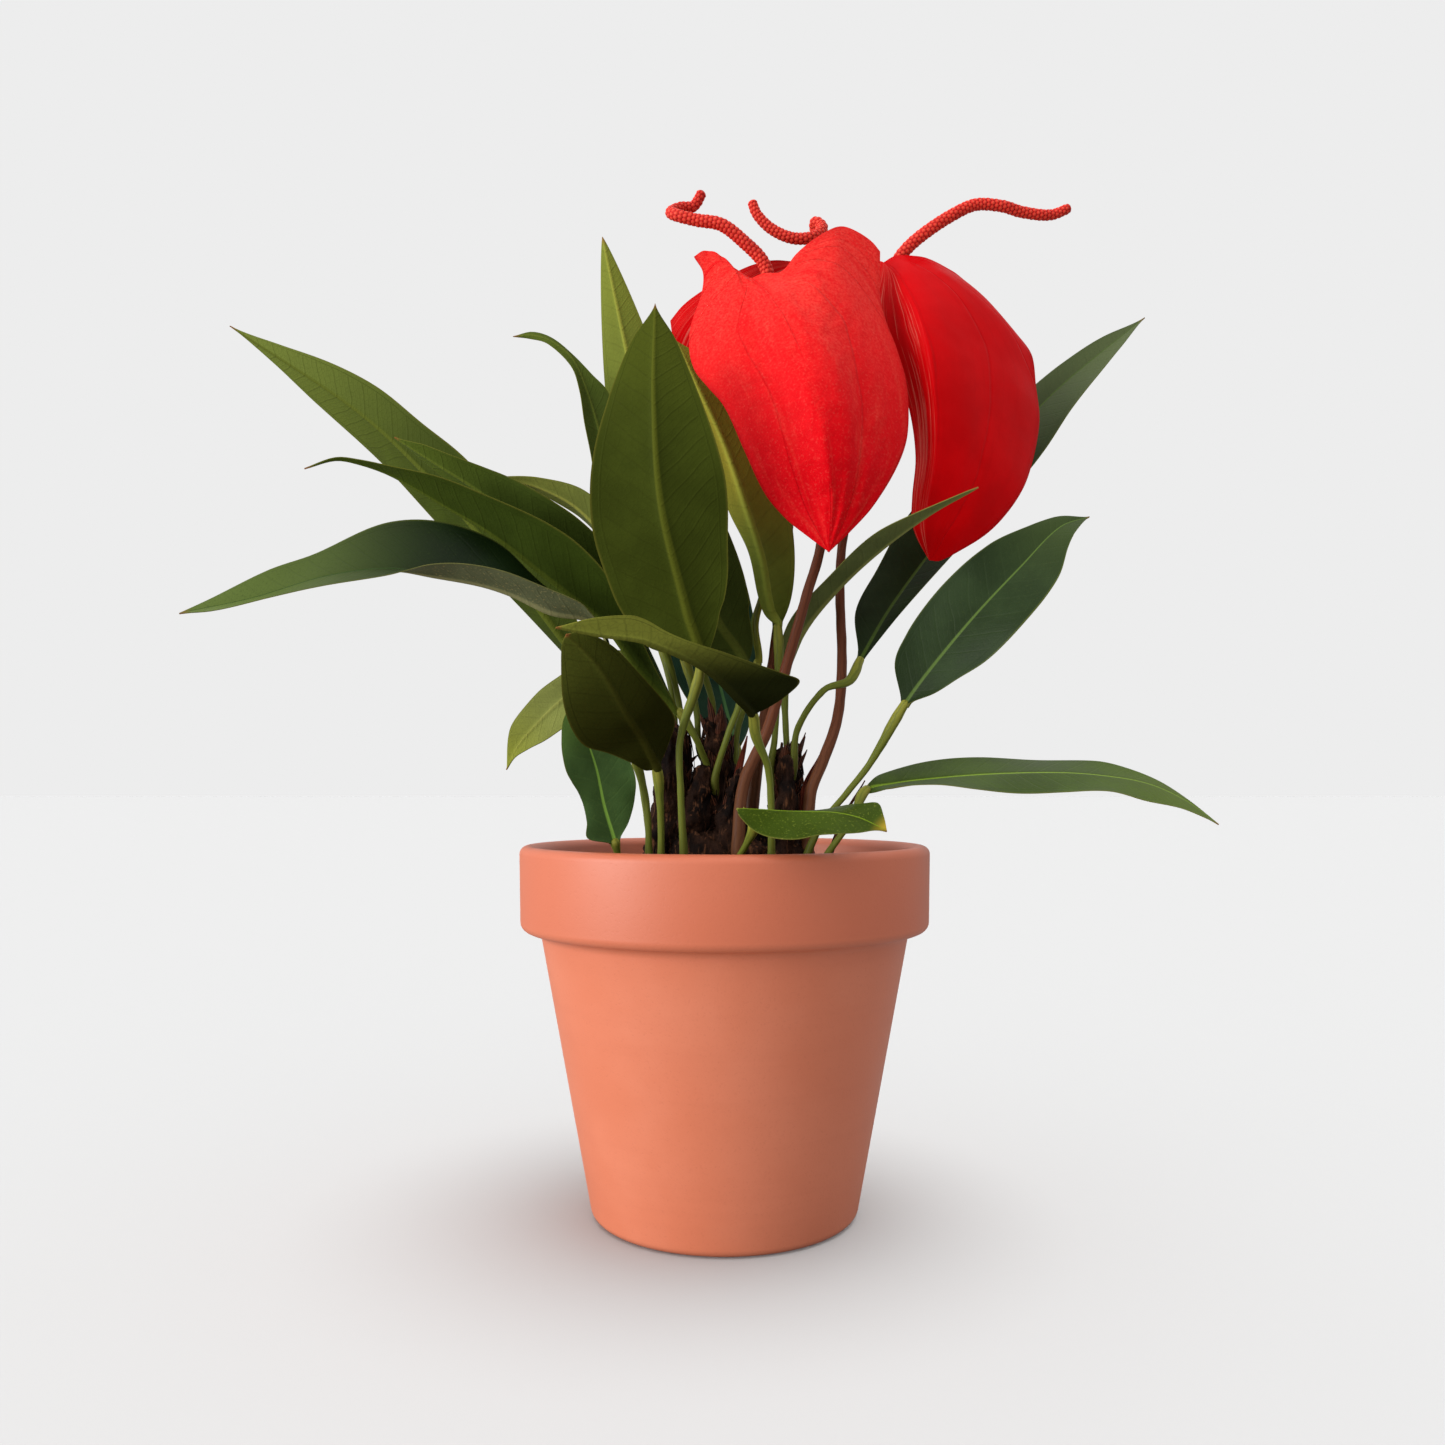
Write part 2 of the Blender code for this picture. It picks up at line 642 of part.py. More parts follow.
def make_flowers():
    """Each flower as a stalk, a curling spadix on its end and a heart-shaped spathe beside the joint."""
    for name, flower in FLOWERS.items():
        stalk = root_points(flower["root"], PEDUNCLE_RADIUS) + flower["peduncle"]
        at, knots = smooth_path(stalk + flower["spadix"])
        joint = knots[len(stalk) - 1]
        radii = [PEDUNCLE_RADIUS * share for share in (1.25, 1, 0.9)]
        tube(f"peduncle_{name}", at, 0, joint - JOINT_GAP / 2, radii, 20, "peduncle")
        radii = [SPADIX_RADIUS * share for share in (1, 1, 0.95, 0.85, 0.6)]
        tube(f"spadix_{name}", at, joint + JOINT_GAP / 2, knots[-1], radii, 18, "spadix_red")
        at, knots = smooth_path(flower["spathe"])
        sides = []
        for i in range(2):
            outline = spathe_outline(flower["shoulders"][i])
            lobe = (flower["lobes"][i], flower["lobes_at"][i], flower["corners"][i])
            sides.append((flower["half_widths"][i], outline, *lobe))
        shape = {
            "grid": (8, 12),
            "sides": sides,
            "least": 0.9,
            "thickness": SPATHE_THICKNESS,
            "top": flower["top"],
            "fold": flower["fold"],
        }
        blade(f"spathe_{name}", at, 0, knots[-1], shape, "spathe_red")


SOIL_Z = POT_HEIGHT - SOIL_BELOW_RIM

for old in list(bpy.data.objects):
    bpy.data.objects.remove(old)
PART = bpy.data.collections.new("potted_anthurium")
bpy.context.scene.collection.children.link(PART)

make_pot()
make_soil()
make_mound()
make_rhizomes()
make_sheaths()
make_leaves()
make_flowers()
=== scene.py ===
import math
import random

import bpy
from mathutils import Euler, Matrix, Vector, noise


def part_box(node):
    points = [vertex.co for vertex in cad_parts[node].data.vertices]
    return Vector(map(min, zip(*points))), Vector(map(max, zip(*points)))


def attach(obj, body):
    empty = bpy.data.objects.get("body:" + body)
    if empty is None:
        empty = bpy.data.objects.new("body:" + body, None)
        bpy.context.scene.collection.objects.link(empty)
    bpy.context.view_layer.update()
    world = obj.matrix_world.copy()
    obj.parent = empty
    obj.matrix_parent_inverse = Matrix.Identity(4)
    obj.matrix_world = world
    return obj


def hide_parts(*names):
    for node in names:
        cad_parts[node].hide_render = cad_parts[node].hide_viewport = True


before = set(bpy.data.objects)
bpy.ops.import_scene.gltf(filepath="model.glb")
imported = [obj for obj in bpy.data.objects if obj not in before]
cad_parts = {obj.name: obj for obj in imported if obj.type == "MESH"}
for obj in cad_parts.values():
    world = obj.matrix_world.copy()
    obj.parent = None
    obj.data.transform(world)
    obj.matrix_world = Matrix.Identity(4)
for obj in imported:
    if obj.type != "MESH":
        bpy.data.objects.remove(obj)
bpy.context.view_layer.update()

mm = 0.001
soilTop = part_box("soil")[1].z / mm
fullTurn = 2 * math.pi
scatter = random.Random(7)


def tint(red, green, blue):
    # a colour as a colour picker shows it, made linear
    shares = [channel / 255 for channel in (red, green, blue)]
    return tuple(s / 12.92 if s <= 0.04045 else ((s + 0.055) / 1.055) ** 2.4 for s in shares) + (1,)


def smoothPath(points):
    points = [Vector(p) for p in points]
    knots = [0.0]
    for a, b in zip(points, points[1:]):
        knots.append(knots[-1] + (b - a).length)
    last = len(points) - 1
    slopes = []
    for i in range(last + 1):
        before, after = max(i - 1, 0), min(i + 1, last)
        slopes.append((points[after] - points[before]) / (knots[after] - knots[before]))

    def at(distance):
        i = 0
        while i < last - 1 and distance > knots[i + 1]:
            i += 1
        span = knots[i + 1] - knots[i]
        t = (distance - knots[i]) / span
        fromA = (1 + 2 * t) * (1 - t) ** 2 * points[i] + t * (1 - t) ** 2 * span * slopes[i]
        fromB = t * t * (3 - 2 * t) * points[i + 1] + t * t * (t - 1) * span * slopes[i + 1]
        return fromA + fromB

    return at, knots


def readTable(table, share):
    # a smooth reading of evenly spaced values, share from 0 to 1
    place = min(max(share, 0), 1) * (len(table) - 1)
    i = min(int(place), len(table) - 2)
    t = place - i
    before = table[max(i - 1, 0)]
    after = table[min(i + 2, len(table) - 1)]
    slopeA = (table[i + 1] - before) / 2
    slopeB = (after - table[i]) / 2
    value = (1 + 2 * t) * (1 - t) ** 2 * table[i] + t * (1 - t) ** 2 * slopeA
    return value + t * t * (3 - 2 * t) * table[i + 1] + t * t * (t - 1) * slopeB


def heading(at, distance, start, end):
    # which way a path runs, from half a millimetre to each side
    return (at(min(distance + 0.5, end)) - at(max(distance - 0.5, start))).normalized()


def place(point):
    # from millimetres above the soil to metres above the floor
    return Vector((point.x, point.y, point.z + soilTop)) * mm


def pickNone():
    bpy.ops.object.select_all(action="DESELECT")


def pickOnly(piece):
    pickNone()
    piece.select_set(True)
    bpy.context.view_layer.objects.active = piece


def copyOf(piece):
    copy = piece.copy()
    copy.data = piece.data.copy()
    bpy.context.scene.collection.objects.link(copy)
    return copy


def rename(piece, name):
    piece.name = piece.data.name = name
    return piece


def addGrid(name, columns, rows):
    pickNone()
    bpy.ops.mesh.primitive_grid_add(x_subdivisions=columns, y_subdivisions=rows, size=2)
    return rename(bpy.context.object, name)


def addValues(piece, name, values):
    made = piece.data.attributes.new(name, "FLOAT", "POINT")
    made.data.foreach_set("value", values)


def closeUp(piece):
    # seams and poles merged, faces outwards
    bpy.context.view_layer.objects.active = piece
    bpy.ops.object.mode_set(mode="EDIT")
    bpy.ops.mesh.select_all(action="SELECT")
    bpy.ops.mesh.remove_doubles(threshold=0.002 * mm)
    bpy.ops.mesh.normals_make_consistent(inside=False)
    bpy.ops.object.mode_set(mode="OBJECT")


def smooth(piece, angle):
    pickOnly(piece)
    bpy.ops.object.shade_smooth_by_angle(angle=math.radians(angle))


def applyAll(piece):
    pickOnly(piece)
    for modifier in list(piece.modifiers):
        bpy.ops.object.modifier_apply(modifier=modifier.name)


def finishPiece(piece, nodes, material=None):
    # rides on the plant, takes its finish from a slot and stands for these nodes
    if material:
        piece.data.materials.append(material)
    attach(piece, "root")
    if nodes:
        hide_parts(*nodes)


def layTube(name, at, start, end, radiusAt, around, rows, relief=None):
    # a rod along a path; relief(share, turn, middle) adds to the radius, in mm
    first, last = radiusAt(0), radiusAt(1)
    capSteps = [(c, math.sqrt(1 - (1 - c) ** 2)) for c in (0, 0.12, 0.4, 0.75)]
    stations = [(start + first * c, wide) for c, wide in capSteps]
    for i in range(rows + 1):
        stations.append((start + first + (end - last - start - first) * i / rows, 1))
    stations += [(end - last * c, wide) for c, wide in reversed(capSteps)]
    piece = addGrid(name, around, len(stations) - 1)
    frames = []
    side = None
    for distance, cap in stations:
        ahead = heading(at, distance, start, end)
        if side is None:
            side = ahead.orthogonal().normalized()
        side = (side - ahead * side.dot(ahead)).normalized()
        frames.append((at(distance), side, side.cross(ahead), (distance - start) / (end - start), cap))
    along, lengths, turns = [], [], []
    for vertex in piece.data.vertices:
        turn = (vertex.co.x + 1) / 2
        row = round((vertex.co.y + 1) / 2 * (len(stations) - 1))
        middle, side, up, share, cap = frames[row]
        angle = -fullTurn * turn
        out = side * math.cos(angle) + up * math.sin(angle)
        radius = radiusAt(share)
        if relief:
            radius += relief(share, turn, middle + out * radius)
        vertex.co = place(middle + out * radius * cap)
        along.append(share)
        lengths.append(share * (end - start))
        turns.append(turn)
    addValues(piece, "along", along)
    addValues(piece, "lengthMm", lengths)
    addValues(piece, "turn", turns)
    closeUp(piece)
    smooth(piece, 80)
    return piece


def newMaterial(name):
    material = bpy.data.materials.new(name)
    material.use_nodes = True
    return material, material.node_tree


def feed(tree, socket, value):
    # a node's output is linked, a plain value is set
    if isinstance(value, bpy.types.NodeSocket):
        tree.links.new(value, socket)
    else:
        socket.default_value = value


def put(tree, kind, inputs=None, **settings):
    node = tree.nodes.new(kind)
    for key, value in settings.items():
        setattr(node, key, value)
    for key, value in (inputs or {}).items():
        feed(tree, node.inputs[key], value)
    return node


def calc(tree, operation, a, b=0.0):
    return put(tree, "ShaderNodeMath", {0: a, 1: b}, operation=operation).outputs[0]


def times(tree, a, b):
    return calc(tree, "MULTIPLY", a, b)


def plus(tree, a, b):
    return calc(tree, "ADD", a, b)


def ramp(tree, value, low, high, toLow=0.0, toHigh=1.0):
    inputs = {"Value": value, "From Min": low, "From Max": high, "To Min": toLow, "To Max": toHigh}
    return put(tree, "ShaderNodeMapRange", inputs, interpolation_type="SMOOTHSTEP").outputs["Result"]


def blend(tree, share, a, b):
    return put(tree, "ShaderNodeMix", {0: share, 6: a, 7: b}, data_type="RGBA").outputs[2]


def lay(tree, colour, hue, mask, show=None):
    # a hue over a colour where the mask is light, as strongly as show says
    return blend(tree, mask if show is None else times(tree, mask, show), colour, hue)


def dress(tree, colour, rough, height, bump, depth, gloss):
    # colour, roughness, relief (how strong, how deep in mm) and gloss, to the shader
    shader = tree.nodes["Principled BSDF"]
    relief = put(tree, "ShaderNodeBump", {"Height": height, "Strength": bump, "Distance": depth * mm})
    tree.links.new(colour, shader.inputs["Base Color"])
    tree.links.new(rough, shader.inputs["Roughness"])
    tree.links.new(relief.outputs["Normal"], shader.inputs["Normal"])
    shader.inputs["Specular IOR Level"].default_value = gloss
    return shader


def readValue(tree, name):
    return put(tree, "ShaderNodeAttribute", attribute_name=name).outputs["Fac"]


def noiseOf(tree, vector, scale, detail=3.0, roughness=0.55, distortion=0.0):
    inputs = {"Vector": vector, "Scale": scale, "Detail": detail, "Roughness": roughness,
              "Distortion": distortion}
    return put(tree, "ShaderNodeTexNoise", inputs).outputs["Fac"]


def newGroup(name, inputs, outputs):
    # a node group whose sockets are all plain numbers; inputs gives their first values
    group = bpy.data.node_groups.new(name, "ShaderNodeTree")
    for label, value in inputs.items():
        socket = group.interface.new_socket(name=label, in_out="INPUT", socket_type="NodeSocketFloat")
        socket.default_value = value
    for label in outputs:
        group.interface.new_socket(name=label, in_out="OUTPUT", socket_type="NodeSocketFloat")
    source = group.nodes.new("NodeGroupInput")
    sink = group.nodes.new("NodeGroupOutput")
    return group, source.outputs, sink.inputs


def useGroup(tree, group, inputs):
    node = tree.nodes.new("ShaderNodeGroup")
    node.node_tree = group
    for key, value in inputs.items():
        feed(tree, node.inputs[key], value)
    return node.outputs


def objectSpot(tree):
    return tree.nodes.new("ShaderNodeTexCoord").outputs["Object"]


def useMottle(tree, patchScale, speckleScale):
    return useGroup(tree, mottle, {"Patch Scale": patchScale, "Speckle Scale": speckleScale})


def makeMottleGroup():
    # soft patches, fine speckle and pits, on object coordinates
    scales = {"Patch Scale": 60.0, "Speckle Scale": 900.0}
    group, source, sink = newGroup("mottle", scales, ["Patches", "Speckle", "Pits"])
    spot = objectSpot(group)
    patches = noiseOf(group, spot, source["Patch Scale"], 4.0)
    speckle = noiseOf(group, spot, source["Speckle Scale"], 2.0, 0.6)
    group.links.new(patches, sink["Patches"])
    group.links.new(speckle, sink["Speckle"])
    group.links.new(ramp(group, speckle, 0.30, 0.42, 1.0, 0.0), sink["Pits"])
    return group


def makeVeinGroup():
    # the veins of a leaf, from its own across and along measures
    sizes = {"Spacing": 6.5, "Slant": 0.85, "Rib Width": 1.0}
    group, source, sink = newGroup("leafVeins", sizes, ["Laterals", "Margin Vein", "Midrib", "Net", "Edge"])
    spot = objectSpot(group)
    share = calc(group, "ABSOLUTE", readValue(group, "across"))
    wide = calc(group, "ABSOLUTE", readValue(group, "acrossMm"))
    length = readValue(group, "lengthMm")
    along = readValue(group, "along")
    sway = times(group, noiseOf(group, spot, 55.0, 2.0), 4.5)
    course = calc(group, "SUBTRACT", length, times(group, wide, source["Slant"]))
    course = plus(group, course, sway)
    step = calc(group, "DIVIDE", course, source["Spacing"])
    strong = ramp(group, calc(group, "PINGPONG", step, 0.5), 0.0, 0.085, 1.0, 0.0)
    # three fainter veins to each strong one
    faint = ramp(group, calc(group, "PINGPONG", times(group, step, 3.0), 0.5), 0.0, 0.16, 1.0, 0.0)
    laterals = calc(group, "MAXIMUM", strong, times(group, faint, 0.35))
    inside = ramp(group, share, 0.80, 0.88, 1.0, 0.0)
    group.links.new(times(group, laterals, inside), sink["Laterals"])
    marginAt = plus(group, times(group, noiseOf(group, spot, 40.0, 1.0), 0.05), 0.835)
    offMargin = calc(group, "ABSOLUTE", calc(group, "SUBTRACT", share, marginAt))
    margin = ramp(group, offMargin, 0.004, 0.02, 1.0, 0.0)
    group.links.new(margin, sink["Margin Vein"])
    ribWidth = times(group, source["Rib Width"], calc(group, "SUBTRACT", 1.18, along))
    middle = calc(group, "DIVIDE", wide, calc(group, "MAXIMUM", ribWidth, 0.05))
    group.links.new(ramp(group, middle, 0.45, 1.1, 1.0, 0.0), sink["Midrib"])
    cells = put(group, "ShaderNodeTexVoronoi", {"Vector": spot, "Scale": 520.0}, feature="DISTANCE_TO_EDGE")
    group.links.new(ramp(group, cells.outputs["Distance"], 0.0, 0.09, 1.0, 0.0), sink["Net"])
    group.links.new(ramp(group, share, 0.955, 1.0), sink["Edge"])
    return group


mottle = makeMottleGroup()
veins = makeVeinGroup()


def terracottaMaterial(look):
    material, tree = newMaterial("terracottaSatin")
    marks = useMottle(tree, look["patches"], look["speckle"])
    spot = objectSpot(tree)
    high = put(tree, "ShaderNodeSeparateXYZ", {0: spot}).outputs["Z"]
    # painted shade: the rim band, above 86 mm inside and out, is laid darker to offset the stronger light it
    # catches
    band = ramp(tree, high, look["bandFrom"], look["bandFrom"] + 0.006)
    turned = put(tree, "ShaderNodeMapping", {"Vector": spot, "Scale": look["rings"]})
    rings = noiseOf(tree, turned.outputs["Vector"], 3.0, 2.0)
    colour = blend(tree, ramp(tree, marks["Patches"], 0.35, 0.68), look["clay"], look["paleClay"])
    colour = lay(tree, colour, look["deepClay"], ramp(tree, rings, 0.45, 0.7), look["ringShow"])
    colour = lay(tree, colour, look["deepClay"], band, look["rimShadeShow"])
    colour = lay(tree, colour, look["deepClay"], marks["Pits"], look["pitShow"])
    rough = ramp(tree, marks["Patches"], 0.3, 0.7, *look["rough"])
    height = calc(tree, "SUBTRACT", times(tree, rings, 0.3), times(tree, marks["Pits"], 0.5))
    height = plus(tree, height, times(tree, marks["Speckle"], 0.35))
    dress(tree, colour, rough, height, look["bump"], 0.3, 0.5)
    return material


def makePot():
    pot = {
        "height": 114.5, "rim": 65.0, "band": 26.5, "neck": 58.3, "base": 41.5,
        "wall": 4.5, "floor": 5.0, "lip": 5.4, "flare": 0.6, "rounding": 2.6, "around": 160,
        "holeRadius": 4.0, "holeCircle": 24.0,
    }
    look = {
        "clay": tint(226, 127, 92), "paleClay": tint(230, 133, 99), "deepClay": tint(208, 110, 78),
        "patches": 28.0, "speckle": 1400.0, "rough": (0.42, 0.52), "bump": 0.18, "pitShow": 0.22,
        # the band keys paint the rim band darker as shade
        "rings": (3.0, 3.0, 90.0), "ringShow": 0.07, "bandFrom": 0.086, "rimShadeShow": 0.75,
    }
    neckAt = pot["height"] - pot["band"]
    pickNone()
    bpy.ops.mesh.primitive_cylinder_add(vertices=pot["around"], radius=pot["base"] * mm, depth=neckAt * mm,
                                        location=(0, 0, neckAt / 2 * mm), end_fill_type="NGON")
    piece = rename(bpy.context.object, "terracottaPot")
    bpy.ops.object.transform_apply(location=True)
    bpy.ops.object.mode_set(mode="EDIT")

    def pickFace(face):
        bpy.ops.object.mode_set(mode="OBJECT")
        for parts in (piece.data.vertices, piece.data.edges, piece.data.polygons):
            for part in parts:
                part.select = False
        piece.data.polygons[face].select = True
        bpy.ops.object.mode_set(mode="EDIT")
        bpy.ops.mesh.select_mode(type="FACE")

    def step(radius, height):
        # pulls the face out to the next ring of the profile
        share = radius / ring[0]
        rise = (0, 0, (height - ring[1]) * mm)
        bpy.ops.mesh.extrude_region_move(TRANSFORM_OT_translate={"value": rise})
        bpy.ops.transform.resize(value=(share, share, 1))
        ring[:] = [radius, height]

    bpy.ops.object.mode_set(mode="OBJECT")
    pickFace(max(range(len(piece.data.polygons)), key=lambda i: piece.data.polygons[i].center.z))
    neck = pot["neck"] - 0.05
    bpy.ops.transform.resize(value=(neck / pot["base"], neck / pot["base"], 1))
    ring = [neck, neckAt]
    step(pot["rim"] - pot["flare"], neckAt + 0.3)
    step(pot["rim"], pot["height"])
    step(pot["rim"] - pot["lip"], pot["height"])
    step(pot["neck"] - pot["wall"], neckAt)
    step(pot["base"] + 1.0 - pot["wall"], pot["floor"])
    bpy.ops.object.mode_set(mode="OBJECT")
    bevel = piece.modifiers.new("Rounded edges", "BEVEL")
    bevel.width = pot["rounding"] * mm
    bevel.segments = 6
    bevel.limit_method = "ANGLE"
    bevel.angle_limit = math.radians(28)
    applyAll(piece)
    for quarter in range(4):
        angle = math.radians(45 + 90 * quarter)
        middle = Vector((math.cos(angle) * pot["holeCircle"], math.sin(angle) * pot["holeCircle"],
                         pot["floor"] / 2)) * mm
        pickNone()
        bpy.ops.mesh.primitive_cylinder_add(vertices=40, radius=pot["holeRadius"] * mm, depth=20 * mm,
                                            location=middle)
        cutter = bpy.context.object
        hole = piece.modifiers.new("Drain hole", "BOOLEAN")
        hole.operation = "DIFFERENCE"
        hole.solver = "EXACT"
        hole.object = cutter
        applyAll(piece)
        bpy.data.objects.remove(cutter)
    smooth(piece, 35)
    finishPiece(piece, ["pot"], terracottaMaterial(look))
    print("pot done,", len(piece.data.polygons), "faces")


makePot()


def darkFibreMaterial(name, look):
    material, tree = newMaterial(name)
    marks = useMottle(tree, look["patches"], look["speckle"])
    drawn = put(tree, "ShaderNodeMapping", {"Vector": objectSpot(tree), "Scale": (1.0, 1.0, look["stretch"])})
    strands = noiseOf(tree, drawn.outputs["Vector"], look["strands"], 4.0, 0.6)
    colour = blend(tree, ramp(tree, marks["Patches"], 0.35, 0.65), look["dark"], look["mid"])
    colour = lay(tree, colour, look["light"], ramp(tree, strands, 0.52, 0.75))
    colour = lay(tree, colour, look["dark"], marks["Pits"], 0.7)
    rough = ramp(tree, strands, 0.3, 0.8, 0.72, 0.95)
    height = plus(tree, strands, times(tree, marks["Speckle"], 0.5))
    dress(tree, colour, rough, height, 0.8, 0.6, 0.08)
    return material


def joinAll(name, copies):
    pickNone()
    for piece in copies:
        piece.select_set(True)
    bpy.context.view_layer.objects.active = copies[0]
    bpy.ops.object.join()
    return rename(copies[0], name)


def makeSoil():
    soil = {"radius": 56.4, "low": 8.0, "lowRadius": 38.3, "rings": 46, "around": 150,
            "underside": 2.4, "edgeDrop": 3.0, "crumbs": 950, "crumbReach": 53,
            "crumbSizes": (0.45, 0.6, 0.8, 1.1, 1.5)}
    look = {"patches": 160.0, "speckle": 1500.0, "stretch": 1.0, "strands": 420.0,
            "dark": tint(26, 20, 16), "mid": tint(48, 36, 28), "light": tint(92, 72, 54)}
    # side wall, then the crumbly top closing to a pole
    low = soil["low"] - soilTop
    profile = [(0, low - soil["underside"]), (soil["lowRadius"] - 3, low - soil["underside"]),
               (soil["lowRadius"], low), (soil["radius"] - 0.3, -0.6 - soil["edgeDrop"])]
    for i in range(soil["rings"] + 1):
        share = 1 - i / soil["rings"]
        profile.append((soil["radius"] * share, soil["edgeDrop"] * (min(1, (1 - share) * 4.2) ** 0.7 - 1)))
    piece = addGrid("pottingSoil", soil["around"], len(profile) - 1)
    for vertex in piece.data.vertices:
        row = round((vertex.co.y + 1) / 2 * (len(profile) - 1))
        angle = math.pi * vertex.co.x
        radius, height = profile[row]
        point = Vector((radius * math.cos(angle), radius * math.sin(angle), height))
        if row > 4 and radius > 0:
            fade = min(1, (soil["radius"] - radius) / 4)
            point.z += fade * (0.9 * noise.noise(point * 0.12) + 0.7 * noise.noise(point * 0.45) - 0.5)
        vertex.co = place(point)
    closeUp(piece)
    smooth(piece, 50)
    pickNone()
    bpy.ops.mesh.primitive_ico_sphere_add(subdivisions=1, radius=1)
    crumb = bpy.context.object
    crumbs = []
    for i in range(soil["crumbs"]):
        away = soil["crumbReach"] * math.sqrt(scatter.random())
        angle = scatter.uniform(0, fullTurn)
        size = scatter.choice(soil["crumbSizes"])
        middle = Vector((away * math.cos(angle), away * math.sin(angle),
                         -0.6 - max(0, away - 44) * 0.18 + size * 0.3))
        turn = Euler([scatter.uniform(0, 6.3) for _ in range(3)]).to_matrix()
        grow = Vector((scatter.uniform(0.6, 1.5), scatter.uniform(0.6, 1.2), scatter.uniform(0.5, 1.0))) * size
        copy = copyOf(crumb)
        for vertex in copy.data.vertices:
            shaped = turn @ Vector([c * g for c, g in zip(vertex.co * scatter.uniform(0.8, 1.15), grow)])
            vertex.co = place(middle + shaped)
        crumbs.append(copy)
    bpy.data.objects.remove(crumb)
    loose = joinAll("soilCrumbs", crumbs)
    material = darkFibreMaterial("pottingSoil", look)
    finishPiece(piece, ["soil"], material)
    finishPiece(loose, [], material)
    print("soil done")


makeSoil()

crown = {
    "mound": {"x": 2.0, "y": 0.0, "radiusX": 29.0, "radiusY": 20.0, "height": 17.0, "edge": 2.0},
    "columns": {
        "left": {"points": [(-15, -3, 0), (-15, -3, 24), (-16, -3, 45)], "radii": (5.4, 4.2)},
        "middle": {"points": [(-2, -4, 0), (-2, -4, 26), (-3, -4, 49)], "radii": (5.0, 3.8)},
        "right": {"points": [(20, -1, 0), (20, -1, 20), (20, -1, 39)], "radii": (5.0, 3.8)},
    },
    "ridges": [
        {"points": [(-17, -6, 0), (-12, -8, 12), (-8, -8, 22), (-5, -7, 33)], "radii": (7.0, 3.2)},
        {"points": [(-20, -8, 0), (-19, -9, 14), (-18, -8, 30), (-17, -8, 44)], "radii": (6.0, 2.4)},
        {"points": [(2, -11, 0), (1, -12, 12), (3, -12, 24), (5, -12, 32)], "radii": (6.0, 1.6)},
        {"points": [(16, -12, 0), (18, -13, 12), (19, -12, 26), (20, -12, 36)], "radii": (5.0, 1.6)},
    ],
    "fibres": 520, "scales": 120,
}


def moundHeight(x, y):
    mound = crown["mound"]
    out = math.hypot((x - mound["x"]) / mound["radiusX"], (y - mound["y"]) / mound["radiusY"])
    if out >= 1:
        return 0.0
    return mound["edge"] + (mound["height"] - mound["edge"]) * (1 - out * out)


def besideColumn(name, height, angle, clear):
    column = crown["columns"][name]
    at, knots = smoothPath(column["points"])
    middle = at(height)
    foot, top = column["radii"]
    out = foot + (top - foot) * (height / knots[-1]) + clear
    angle = math.radians(angle)
    return (middle.x + out * math.cos(angle), middle.y + out * math.sin(angle), middle.z)


def rootPoints(root, radius):
    if root[0] == "soil":
        x, y = root[1], root[2]
        ground = moundHeight(x, y)
        return [(x, y, ground - 1.5), (x, y, ground + 3)]
    name, height, angle = root
    return [besideColumn(name, height + rise, angle, clear) for rise, clear in ((-1, -1.2), (4, radius + 0.3))]


def roughen(point, amount):
    fine = noise.noise(Vector((point.x * 0.9, point.y * 0.9, point.z * 0.22)))
    coarse = noise.noise(point * 0.16)
    return amount * (0.55 * fine + 0.75 * coarse)


def makeCrown():
    look = {"patches": 130.0, "speckle": 1300.0, "stretch": 0.22, "strands": 700.0,
            "dark": tint(18, 11, 9), "mid": tint(50, 31, 22), "light": tint(116, 76, 52)}
    material = darkFibreMaterial("crownBark", look)
    mound = crown["mound"]
    pickNone()
    bpy.ops.mesh.primitive_uv_sphere_add(segments=96, ring_count=56, radius=1)
    piece = rename(bpy.context.object, "crownMound")
    for vertex in piece.data.vertices:
        shaped = Vector((vertex.co.x * mound["radiusX"], vertex.co.y * mound["radiusY"], 0))
        shaped.z = vertex.co.z * mound["height"] if vertex.co.z > 0 else vertex.co.z * 2
        shaped += Vector((mound["x"], mound["y"], 0))
        push = roughen(shaped + Vector((31, 7, 0)), 3.4) - 0.6
        out = Vector((vertex.co.x, vertex.co.y, vertex.co.z * 1.3)).normalized()
        vertex.co = place(shaped + out * push)
    smooth(piece, 60)
    finishPiece(piece, ["root_mound"], material)
    for name, column in crown["columns"].items():
        at, knots = smoothPath(column["points"])
        foot, top = column["radii"]
        piece = layTube(
            f"crownColumn.{name}", at, 4, knots[-1], lambda share: foot + (top - foot) * share * share, 40, 56,
            lambda share, turn, point: roughen(point, 2.0) + 0.5 * abs(math.sin(share * 21 + 2 * turn)) - 0.2)
        finishPiece(piece, [f"rhizome_{name}"], material)
    for i, ridge in enumerate(crown["ridges"]):
        at, knots = smoothPath(ridge["points"])
        foot, top = ridge["radii"]
        piece = layTube(
            f"crownRidge.{i + 1}", at, 2, knots[-1], lambda share: foot + (top - foot) * share, 32, 40,
            lambda share, turn, point: roughen(point, 2.6) - 0.3)
        finishPiece(piece, [], material)
    makeFibres(material)
    makeCataphylls()
    print("crown done")


